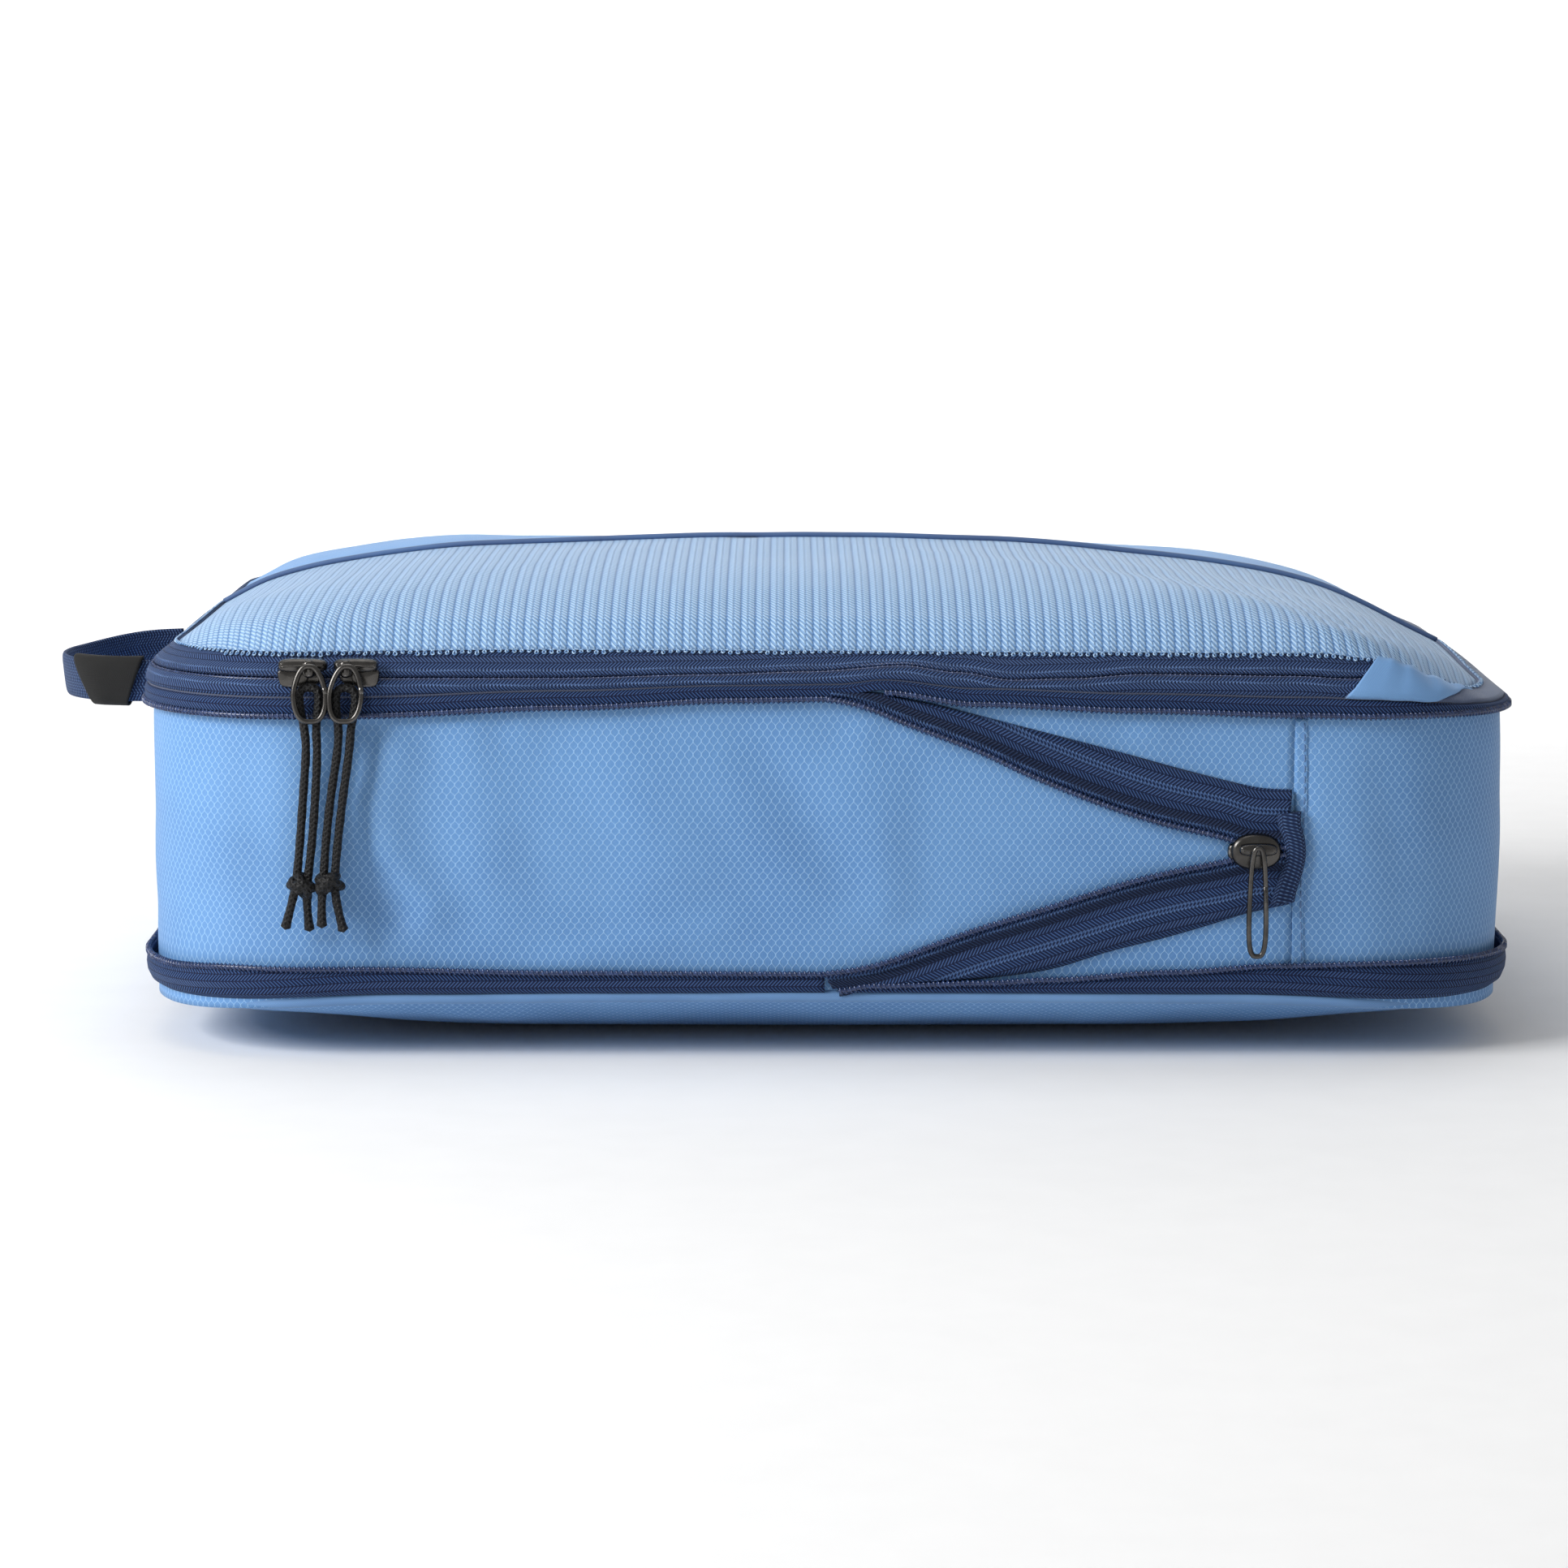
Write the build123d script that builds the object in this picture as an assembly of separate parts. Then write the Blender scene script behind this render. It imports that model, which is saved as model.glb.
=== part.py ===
from build123d import *
import os
import math

# Expanding compression packing cube, millimetres, +Z up.
# Origin: middle of the body outline, on the flat the cube rests on.
# +X runs from the grab handle end to the hinge end, -Y is the front.

# ---- driving dimensions -------------------------------------------------
HALF_L = 177.5        # gusset wall, half length (outer face)
HALF_W = 122.0        # gusset wall, half width (outer face)
CORNER_R = 45.0       # gusset wall, corner radius
FABRIC = 1.0          # wall cloth with its seam allowance

Z_PIPE0, Z_PIPE1 = 15.0, 18.0       # piped bottom edge
Z_LOW_TAPE1 = 23.2                  # lower compression tape, top
Z_LOW_COIL1 = 24.6                  # lower compression coil, top
Z_WALL1 = 90.8                      # gusset wall, top
Z_UP_COIL0 = 88.5                   # upper compression coil, bottom
Z_UP_TAPE0 = 89.9                   # upper compression tape, bottom
Z_RIM = 92.7                        # crease between the two zips
Z_MAIN = 98.5                       # middle of the main zip
COIL_GAP = 0.7                      # half the way a slider's post needs
COIL_H = 1.4
Z_LID_EDGE = 105.6                  # top of the main zip's lid tape
Z_TOP = 124.0                       # crest of the lid

X_ZIP_END = 134.0                   # main zip stops here, front and back
HINGE_X, HINGE_Z = 134.5, 114.9     # line the lid folds on, between the zip's two ends
FOLD_GAP = 0.3                      # either side of the fold
SEAM_Y = 5.0                        # lid seam between mesh and plain cloth
X_GUSSET_SEAM = 119.0               # upright gusset seam
GAP_X0, GAP_X1 = 3.0, 22.0          # break in the upper compression tape

COMPRESS = 62.0                     # how far the upper shell comes down
SLIDER_REST = (109.4, 54.4)         # compression slider, x and z at rest
SLIDER_DOWN = (12.0, 28.5)          # and when the cube is compressed

CORD_D = 2.2                        # pull cord

os.makedirs("parts", exist_ok=True)


def save(shape, name):
    solids = shape.solids()
    out = solids[0] if len(solids) == 1 else Compound(children=list(solids))
    print(name, len(solids), round(out.volume, 1), "valid", all(s.is_valid for s in solids))
    export_step(out, "parts/%s.step" % name)
    return out


def outline(off, z):
    return Pos(0, 0, z) * RectangleRounded(2 * (HALF_L + off), 2 * (HALF_W + off), CORNER_R + off)


def ring(off_in, off_out, z0, z1):
    return extrude(outline(off_out, z0), amount=z1 - z0) - extrude(outline(off_in, z0 - 1), amount=z1 - z0 + 2)


def span(x0, x1, y0, y1, z0, z1):
    return Pos((x0 + x1) / 2, (y0 + y1) / 2, (z0 + z1) / 2) * Box(x1 - x0, y1 - y0, z1 - z0)


def section(xl, xr, hw, r, z):
    return Pos((xl + xr) / 2, 0, z) * RectangleRounded(xr - xl, 2 * hw, r)


def stack(rows):
    return loft([section(*row) for row in rows], ruled=True)


def grown(rows, g, dz):
    return [(xl - g, xr + g, hw + g, r + g, z + dz) for xl, xr, hw, r, z in rows]


def plate_xz(points, y0, y1):
    """A flat plate with its outline in X and Z, from y0 towards -Y to y1."""
    face = make_face(Plane.XZ * Polyline(*points, close=True))
    return Pos(0, y0, 0) * extrude(face, amount=y0 - y1, dir=(0, -1, 0))


# ---- base ---------------------------------------------------------------
base_rows = [
    (-85, 110, 75, 30, 0.0),
    (-128, 142, 97, 38, 2.6),
    (-158, 162, 111, 42, 7.5),
    (-177, 177, 121.5, 44.5, Z_PIPE0),
]
base_inner = grown(base_rows, -1.2, 1.2)
bottom_panel = stack(base_rows) - stack(base_inner)
save(bottom_panel, "bottom_panel")

save(ring(-1.0, 2.0, Z_PIPE0, Z_PIPE1), "bottom_edge_piping")
save(ring(1.0, 2.0, Z_PIPE1, Z_LOW_TAPE1), "compression_zip_lower_tape")
save(ring(0.9, 2.6, Z_LOW_TAPE1, Z_LOW_COIL1), "compression_zip_lower_coil")

wall = ring(-FABRIC, 0.0, Z_PIPE1, Z_WALL1)
save(wall - span(X_GUSSET_SEAM, 300, -200, 200, 0, 200), "gusset_long_panel")
save(wall - span(-300, X_GUSSET_SEAM, -200, 200, 0, 200), "gusset_hinge_end_panel")
yi = HALF_W - FABRIC
save(span(X_GUSSET_SEAM - 5, X_GUSSET_SEAM + 5, -yi, -yi + 0.8, 19, 89.5), "gusset_seam_tape_front")
save(span(X_GUSSET_SEAM - 5, X_GUSSET_SEAM + 5, yi - 0.8, yi, 19, 89.5), "gusset_seam_tape_back")

# The two ends of the compression zip leave the edges and meet at the slider.
yv0, yv1 = -(HALF_W + 1.0), -(HALF_W + 1.8)
yc0, yc1 = -(HALF_W + 0.9), -(HALF_W + 2.6)
up_chain = [(19.5, 87.6), (37.8, 80.6), (68.9, 67.2), (100.0, 58.4), (108.0, 55.6), (116.2, 55.2)]
up_back = [(116.2, 68.9), (89.6, 75.7), (58.5, 84.1), (45.0, 87.6)]
low_chain = [(17.2, 26.3), (36.9, 33.6), (56.4, 39.7), (76.2, 46.0), (100.0, 51.6), (108.0, 53.6), (116.2, 53.6)]
low_back = [(116.2, 39.6), (107.5, 38.2), (85.9, 31.7), (72.2, 28.2), (62.0, 25.2), (17.2, 25.2)]
tape_up = plate_xz(up_chain + up_back, yv0, yv1)
tape_low = plate_xz(low_chain + low_back, yv0, yv1)


def chain(points, side):
    """A bead 1.4 high along a chain edge, on the tape's side of it."""
    return plate_xz(points + [(x, z + side * 1.4) for x, z in reversed(points)], yc0, yc1)


coil_up = chain(up_chain, +1)
coil_low = chain(low_chain, -1)
save(tape_up - coil_up, "compression_zip_upper_strip")
save(coil_up, "compression_zip_upper_strip_coil")
save(tape_low - coil_low, "compression_zip_lower_strip")
save(coil_low, "compression_zip_lower_strip_coil")
save(plate_xz([(116.3, 63.0), (120.0, 63.2), (122.4, 42.0), (117.6, 42.0)], -(HALF_W + 0.2), -(HALF_W + 2.8)), "slider_garage_tab")

# ---- upper shell --------------------------------------------------------
gap = span(GAP_X0, GAP_X1, -200, 0, 80, 100)
save(ring(1.0, 2.0, Z_UP_TAPE0, Z_RIM) - gap, "compression_zip_upper_tape")
save(ring(0.9, 2.6, Z_UP_COIL0, Z_UP_TAPE0) - gap, "compression_zip_upper_coil")
save(ring(-1.0, 1.0, Z_WALL1 + 0.3, Z_RIM) - gap, "upper_rim_binding")

beyond = span(X_ZIP_END, 300, -200, 200, 80, 130)
z_low_coil = Z_MAIN - COIL_GAP - COIL_H
z_up_coil = Z_MAIN + COIL_GAP
save(ring(-2.0, -1.0, 90.5, z_low_coil) - beyond, "main_zip_lower_tape")
save(ring(-2.6, -0.4, z_low_coil, z_low_coil + COIL_H) - beyond, "main_zip_lower_coil")
save(ring(-2.5, 0.8, Z_RIM, 94.5) - span(-300, X_ZIP_END + 0.4, -200, 200, 80, 130), "hinge_end_strip")
patch = ring(-2.0, -0.8, 94.5, 106) & plate_xz([(X_ZIP_END + 0.4, 90), (164, 90), (164, 98.6), (X_ZIP_END + 0.4, 103.6)], 200, -200)
save(patch - span(0, 300, 0, 200, 80, 130), "corner_patch_front")
save(patch - span(0, 300, -200, 0, 80, 130), "corner_patch_back")

# ---- lid ----------------------------------------------------------------
save(ring(-2.0, -1.0, z_up_coil + COIL_H, Z_LID_EDGE) - beyond, "main_zip_upper_tape")
save(ring(-2.6, -0.4, z_up_coil, z_up_coil + COIL_H) - beyond, "main_zip_upper_coil")

dome_rows = [
    (-175.5, 171.5, 120, 43, 97.2),
    (-175.5, 158, 120, 43, Z_LID_EDGE),
    (-167, 141, 108, 38, 112.0),
    (-145, 108, 85, 32, 118.0),
    (-105, 55, 55, 25, 122.0),
    (-60, 8, 22, 15, Z_TOP),
]
inner_rows = grown(dome_rows, -1.2, -1.2)
dome = stack(dome_rows)
keep = plate_xz([(-200, 103.6), (X_ZIP_END, 103.6), (171.6, 97.2), (171.6, 140), (-200, 140)], 200, -200)
shell = (dome - stack(inner_rows)) & keep
opens = span(-300, HINGE_X - FOLD_GAP, -200, 200, 0, 200)
stays = span(HINGE_X + FOLD_GAP, 300, -200, 200, 0, 200)
front = span(-300, 300, -200, SEAM_Y, 0, 200)
rear = span(-300, 300, SEAM_Y, 200, 0, 200)
save(shell & opens & front, "lid_mesh_panel")
save(shell & opens & rear, "lid_solid_panel")
save(shell & stays & front, "lid_mesh_hinge_end")
save(shell & stays & rear, "lid_solid_hinge_end")
bead = stack(grown(dome_rows, 1.0, 1.0)) - dome
bead = bead & span(-176, 170, SEAM_Y - 1, SEAM_Y + 1, 106.2, 140)
save(bead & opens, "lid_seam_piping")
save(bead & stays, "lid_seam_piping_hinge_end")

# ---- main zip sliders ---------------------------------------------------


def slider(length, height, body_shift, face_off, crown_h, y_tape, back):
    """Slider with its crown at x=0, z=0. y_tape is the tape's middle plane."""
    yf = y_tape - face_off                      # inner face of the outer plate
    x0, x1 = body_shift - length / 2, body_shift + length / 2
    plate = plate_xz([(x0, height * 0.5), (x1, height * 0.5), (x1, 0.1 * height), (x1 - 1.6, -height * 0.5),
                      (x0 + 1.6, -height * 0.5), (x0, 0.1 * height)], yf, yf - 1.3)
    yo = yf - 1.3
    crown = span(-1.4, 1.4, yo - 3.2, yo, -crown_h / 2, crown_h / 2) - span(-3, 3, yo - 2.1, yo, -crown_h / 2 + 1.0, crown_h / 2 - 1.0)
    post = span(body_shift - 1.3, body_shift + 1.3, yf, y_tape + back[0], -0.5, 0.5)
    rear = span(body_shift - back[2], body_shift + back[2], y_tape + back[0], y_tape + back[1], -back[3], back[3])
    return plate, crown, post, rear, yo


def main_slider(x_crown, body_shift, length, name):
    y_tape = -(HALF_W - 1.5)
    plate, crown, post, rear, yo = slider(length, 7.6, body_shift, 1.4, 4.6, y_tape, (1.8, 2.5, 4.0, 2.4))
    up = Pos(0, 0, Z_MAIN + 1.2)
    body = (up * plate + Pos(0, 0, 101.2) * crown) + Pos(0, 0, Z_MAIN) * (post + rear)
    save(Pos(x_crown, 0, 0) * body, name)
    return yo - 1.05                           # middle of the crown's slot


BAIL_TILT = 18.0
X_LEFT, X_RIGHT = -131.7, -122.4               # crowns
Z_BAIL = 101.2
y_bail = main_slider(X_LEFT, -1.7, 12.2, "main_slider_left")
main_slider(X_RIGHT, 3.2, 10.0, "main_slider_right")
print("bail axis y", y_bail)


def bail(x, width, name):
    """Pear-shaped wire loop, hung from the crown and leaning on the edge below."""
    w, t, h = width / 2, 1.2, 13.6
    outer = [(-2.6 - t / 2, 0.6), (2.6 + t / 2, 0.6), (w, -7.5), (w, -h + 3.0), (w - 2.4, -h), (-w + 2.4, -h), (-w, -h + 3.0), (-w, -7.5)]
    inner = [(-2.6 + t / 2, -0.6), (2.6 - t / 2, -0.6), (w - t, -7.7), (w - t, -h + 3.4), (w - 2.4 - t / 2, -h + t),
             (-w + 2.4 + t / 2, -h + t), (-w + t, -h + 3.4), (-w + t, -7.7)]
    loop = plate_xz(outer, 0.6, -0.6) - plate_xz(inner, 2, -2)
    save(Pos(x, y_bail, Z_BAIL) * Rot(-BAIL_TILT, 0, 0) * loop, name)


bail(X_LEFT, 8.8, "pull_bail_left")
bail(X_RIGHT, 8.0, "pull_bail_right")

# ---- pull cords ---------------------------------------------------------


def cord_radii(points):
    v = [Vector(*p) for p in points]
    radii, runs = [], []
    for a, b, c in zip(v, v[1:], v[2:]):
        turn = math.radians((b - a).get_angle(c - b))
        radii.append(0.45 * min((b - a).length, (c - b).length) / math.tan(turn / 2))
    for a, b in zip(v, v[1:]):
        runs.append(round((b - a).length, 1))
    return radii, runs


def cord(points, name):
    radii, runs = cord_radii(points)
    print(name, "runs", runs)
    print(name, "radii", [round(r, 1) for r in radii])
    path = FilletPolyline(*points, radius=radii)
    start = Plane(origin=path @ 0, z_dir=path % 0)
    tube = sweep(start * Circle(CORD_D / 2), path=path)
    print(name, "length", round(path.length, 2), "volume ratio", round(tube.volume / (math.pi * CORD_D ** 2 / 4 * path.length), 4))
    save(tube, name)


# tail, up through the knot, over at the crown, down through the knot, tail
cord_left = [
    (-138.3, -128.0, 35.6), (-136.9, -128.3, 40.6), (-135.5, -127.6, 46.4), (-134.4, -127.4, 56.8), (-133.4, -127.2, 69.5),
    (-132.4, -127.1, 81.2), (-132.9, -126.9, 86.6), (-134.1, -126.3, 91.6), (-134.2, -125.9, 96.8),
    (-129.2, -125.9, 96.9), (-129.3, -126.3, 91.7), (-130.0, -126.9, 86.6), (-129.6, -127.2, 80.6),
    (-130.3, -127.4, 69.0), (-131.3, -127.6, 57.0), (-132.7, -127.6, 46.6), (-132.9, -127.2, 40.4), (-132.4, -126.4, 34.8),
]
cord_right = [
    (-128.9, -129.4, 36.2), (-129.0, -129.2, 41.4), (-128.5, -128.3, 47.0), (-127.8, -127.7, 57.6), (-126.3, -127.3, 70.0),
    (-124.4, -127.2, 81.2), (-124.2, -126.9, 86.6), (-124.9, -126.3, 91.6), (-124.9, -125.9, 96.8),
    (-119.9, -125.9, 96.7), (-120.0, -126.3, 91.5), (-121.1, -126.9, 86.7), (-121.5, -127.2, 80.8),
    (-123.3, -127.3, 69.2), (-124.8, -127.7, 57.2), (-125.7, -128.2, 47.4), (-125.1, -128.9, 41.0), (-123.6, -128.4, 35.0),
]
cord(cord_left, "pull_cord_left")
cord(cord_right, "pull_cord_right")
save(Pos(-134.1, -127.9, 46.0) * Sphere(3.1), "cord_knot_left")
save(Pos(-127.2, -128.4, 46.8) * Sphere(3.1), "cord_knot_right")

# ---- compression slider and pull ----------------------------------------
y_tape = -(HALF_W + 1.75)
plate, crown, post, rear, yo = slider(12.4, 8.8, 0.0, 1.15, 4.8, y_tape, (1.1, 1.6, 4.5, 2.2))
sx, sz = SLIDER_REST
post = Pos(-2.6, 0, 0) * post
body = (plate + Pos(0, 0, 0.6) * crown) + (post + rear)
save(Pos(sx, 0, sz) * body, "compression_slider")
y_pull = yo - 1.05
print("compression pull axis y", y_pull, "z", sz + 0.6)
w = 2.65
outer = [(-1.9, 0.8), (1.9, 0.8), (w, -1.5), (w, -25.0), (1.6, -27.2), (-1.6, -27.2), (-w, -25.0), (-w, -1.5)]
eye = [(-1.0, -13.5), (1.0, -13.5), (1.3, -24.6), (0.7, -25.7), (-0.7, -25.7), (-1.3, -24.6)]
pull = plate_xz(outer, 0.5, -0.5) - plate_xz(eye, 2, -2) - plate_xz([(-1.75, -0.6), (1.75, -0.6), (1.75, -4.6), (-1.75, -4.6)], 2, -2)
save(Pos(sx, y_pull, sz + 0.6) * pull, "compression_pull")

# ---- grab handle --------------------------------------------------------
hx, hy = -(HALF_L + 3.1), -15.0
band = extrude(Pos(hx, hy, 83.5) * Ellipse(30.4, 33.0), amount=11.9) - extrude(Pos(hx, hy, 80) * Ellipse(28.6, 31.2), amount=20)
band = band - span(hx, 0, -200, 200, 60, 120)
for side in (-1, 1):
    ye = hy + side * 32.1
    band = band + span(hx - 3.0, -177.3, min(ye - 0.9, ye + 0.9), max(ye - 0.9, ye + 0.9), 93.4, 95.4)
save(band, "grab_handle")
sleeve = extrude(Pos(hx, hy, 83.1) * Ellipse(31.1, 33.7), amount=12.7) - extrude(Pos(hx, hy, 80) * Ellipse(27.9, 30.5), amount=20)
core = extrude(Pos(hx, hy, 83.5) * Ellipse(30.4, 33.0), amount=11.9) - extrude(Pos(hx, hy, 80) * Ellipse(28.6, 31.2), amount=20)
sleeve = (sleeve - core) & span(-208.0, -190.0, -60, hy - 6, 70, 110)
save(sleeve, "handle_label")
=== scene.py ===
import bpy
import bmesh
import math
import numpy as np
from mathutils import Matrix, Vector


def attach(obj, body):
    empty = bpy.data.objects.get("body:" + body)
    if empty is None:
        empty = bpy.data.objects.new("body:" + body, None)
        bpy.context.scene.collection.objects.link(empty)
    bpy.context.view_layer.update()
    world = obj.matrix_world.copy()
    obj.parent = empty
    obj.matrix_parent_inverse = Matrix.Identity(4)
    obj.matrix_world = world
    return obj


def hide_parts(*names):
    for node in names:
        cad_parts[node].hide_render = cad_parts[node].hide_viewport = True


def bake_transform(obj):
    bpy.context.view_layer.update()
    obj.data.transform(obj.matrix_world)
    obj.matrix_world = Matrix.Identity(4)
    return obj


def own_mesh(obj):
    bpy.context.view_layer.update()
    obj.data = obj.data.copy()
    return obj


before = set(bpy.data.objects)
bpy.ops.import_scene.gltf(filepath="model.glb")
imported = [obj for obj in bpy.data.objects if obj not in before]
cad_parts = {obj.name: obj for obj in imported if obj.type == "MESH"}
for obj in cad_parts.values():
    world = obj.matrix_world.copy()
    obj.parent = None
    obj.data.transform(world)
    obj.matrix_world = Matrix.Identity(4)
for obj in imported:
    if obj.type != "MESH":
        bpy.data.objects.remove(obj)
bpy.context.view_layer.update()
MM = 0.001

# ------------------------------------------------------------------ camera
scene = bpy.context.scene
scene.view_settings.view_transform = "Standard"
cam_data = bpy.data.cameras.new("camera")
cam = bpy.data.objects.new("camera", cam_data)
scene.collection.objects.link(cam)
ELEV = math.radians(8.0)
DIST = 1.160
AIM = Vector((-0.0112, -0.120, 0.0713))
look = Vector((0, math.cos(ELEV), -math.sin(ELEV)))
cam.location = AIM - look * DIST
cam.rotation_euler = look.to_track_quat("-Z", "Y").to_euler()
cam_data.sensor_width = 36.0
cam_data.lens = 36.0 * DIST / 0.4009
cam_data.clip_start = 0.05
scene.camera = cam

# ------------------------------------------------------------------ pull cords, route points as in the CAD, millimetres
CORD_D = 2.2
CORD_LEFT = [
    (-138.3, -128.0, 35.6), (-136.9, -128.3, 40.6), (-135.5, -127.6, 46.4), (-134.4, -127.4, 56.8), (-133.4, -127.2, 69.5),
    (-132.4, -127.1, 81.2), (-132.9, -126.9, 86.6), (-134.1, -126.3, 91.6), (-134.2, -125.9, 96.8),
    (-129.2, -125.9, 96.9), (-129.3, -126.3, 91.7), (-130.0, -126.9, 86.6), (-129.6, -127.2, 80.6),
    (-130.3, -127.4, 69.0), (-131.3, -127.6, 57.0), (-132.7, -127.6, 46.6), (-132.9, -127.2, 40.4), (-132.4, -126.4, 34.8),
]
CORD_RIGHT = [
    (-128.9, -129.4, 36.2), (-129.0, -129.2, 41.4), (-128.5, -128.3, 47.0), (-127.8, -127.7, 57.6), (-126.3, -127.3, 70.0),
    (-124.4, -127.2, 81.2), (-124.2, -126.9, 86.6), (-124.9, -126.3, 91.6), (-124.9, -125.9, 96.8),
    (-119.9, -125.9, 96.7), (-120.0, -126.3, 91.5), (-121.1, -126.9, 86.7), (-121.5, -127.2, 80.8),
    (-123.3, -127.3, 69.2), (-124.8, -127.7, 57.2), (-125.7, -128.2, 47.4), (-125.1, -128.9, 41.0), (-123.6, -128.4, 35.0),
]


def nurbs_line(points, name):
    """The smooth line of a route, read from a NURBS spline with no bevel."""
    cu = bpy.data.curves.new(name, "CURVE")
    cu.dimensions = "3D"
    cu.resolution_u = 12
    sp = cu.splines.new("NURBS")
    sp.points.add(len(points) - 1)
    for p, co in zip(sp.points, points):
        p.co = (co[0] * MM, co[1] * MM, co[2] * MM, 1.0)
    sp.order_u = 3
    sp.use_endpoint_u = True
    ob = bpy.data.objects.new(name, cu)
    scene.collection.objects.link(ob)
    dg = bpy.context.evaluated_depsgraph_get()
    me = bpy.data.meshes.new_from_object(ob.evaluated_get(dg))
    line = np.array([v.co[:] for v in me.vertices])
    bpy.data.objects.remove(ob)
    bpy.data.meshes.remove(me)
    return line                                  # metres


# ------------------------------------------------------------------ colour and noise helpers
def lin(r, g, b):
    out = []
    for c in (r, g, b):
        c /= 255.0
        out.append(c / 12.92 if c <= 0.04045 else ((c + 0.055) / 1.055) ** 2.4)
    return (out[0], out[1], out[2], 1.0)


def smooth(t):
    t = np.clip(t, 0, 1)
    return t * t * (3 - 2 * t)


def vnoise(x, y, seed=0):
    """Smooth value noise in -1..1 on two arrays."""
    rng = np.random.RandomState(seed)
    table = rng.rand(64, 64) * 2 - 1
    xi, yi = np.floor(x).astype(int), np.floor(y).astype(int)
    fx, fy = smooth(x - xi), smooth(y - yi)
    a = table[xi % 64, yi % 64]
    b = table[(xi + 1) % 64, yi % 64]
    c = table[xi % 64, (yi + 1) % 64]
    d = table[(xi + 1) % 64, (yi + 1) % 64]
    return (a * (1 - fx) + b * fx) * (1 - fy) + (c * (1 - fx) + d * fx) * fy


# ------------------------------------------------------------------ shader helper
class Nodes:
    def __init__(self, name):
        self.mat = bpy.data.materials.new(name)
        self.mat.use_nodes = True
        self.t = self.mat.node_tree
        self.bsdf = self.t.nodes["Principled BSDF"]

    def new(self, kind, **values):
        n = self.t.nodes.new(kind)
        for k, v in values.items():
            setattr(n, k, v)
        return n

    def put(self, socket, value):
        if isinstance(value, bpy.types.NodeSocket):
            self.t.links.new(value, socket)
        else:
            socket.default_value = value

    def m(self, op, a, b=0.0, c=0.0, clamp=False):
        n = self.new("ShaderNodeMath", operation=op, use_clamp=clamp)
        self.put(n.inputs[0], a)
        self.put(n.inputs[1], b)
        self.put(n.inputs[2], c)
        return n.outputs[0]

    def ramp(self, x, lo, hi):
        """0 below lo, 1 above hi, smooth between."""
        n = self.new("ShaderNodeMapRange", interpolation_type="SMOOTHSTEP")
        self.put(n.inputs["Value"], x)
        n.inputs["From Min"].default_value = lo
        n.inputs["From Max"].default_value = hi
        return n.outputs[0]

    def mix(self, f, a, b):
        n = self.new("ShaderNodeMix", data_type="RGBA")
        self.put(n.inputs[0], f)
        self.put(n.inputs[6], a)
        self.put(n.inputs[7], b)
        return n.outputs[2]

    def uv(self):
        """Cloth coordinates in millimetres."""
        n = self.new("ShaderNodeUVMap", uv_map="cloth")
        sp = self.new("ShaderNodeSeparateXYZ")
        self.t.links.new(n.outputs[0], sp.inputs[0])
        return self.m("MULTIPLY", sp.outputs[0], 1000.0), self.m("MULTIPLY", sp.outputs[1], 1000.0)

    def vec(self, x, y, z=0.0):
        n = self.new("ShaderNodeCombineXYZ")
        self.put(n.inputs[0], x)
        self.put(n.inputs[1], y)
        self.put(n.inputs[2], z)
        return n.outputs[0]

    def noise(self, vector, scale, detail=2.0, rough=0.5):
        n = self.new("ShaderNodeTexNoise")
        self.t.links.new(vector, n.inputs["Vector"])
        n.inputs["Scale"].default_value = scale
        n.inputs["Detail"].default_value = detail
        n.inputs["Roughness"].default_value = rough
        return n.outputs[0]

    def obj(self):
        return self.new("ShaderNodeTexCoord").outputs["Object"]

    def bump(self, height, distance, strength=1.0, normal=None):
        n = self.new("ShaderNodeBump")
        n.inputs["Strength"].default_value = strength
        n.inputs["Distance"].default_value = distance
        self.put(n.inputs["Height"], height)
        if normal is not None:
            self.put(n.inputs["Normal"], normal)
        return n.outputs[0]

    def done(self, color, rough, normal=None, sheen=0.0, tint=(1, 1, 1, 1), metallic=0.0, spec=0.5, sheen_rough=0.4):
        b = self.bsdf
        self.put(b.inputs["Base Color"], color)
        self.put(b.inputs["Roughness"], rough)
        b.inputs["Metallic"].default_value = metallic
        b.inputs["Specular IOR Level"].default_value = spec
        b.inputs["Sheen Weight"].default_value = sheen
        b.inputs["Sheen Roughness"].default_value = sheen_rough
        b.inputs["Sheen Tint"].default_value = tint
        if normal is not None:
            self.put(b.inputs["Normal"], normal)
        return self.mat


def soft_line(N, coord, width):
    """1 on the lines where coord is a whole number, width as a share of the pitch."""
    f = N.m("ABSOLUTE", N.m("SUBTRACT", N.m("FRACT", coord), 0.5))
    return N.ramp(f, 0.5 - width, 0.5 - width * 0.25)


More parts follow.
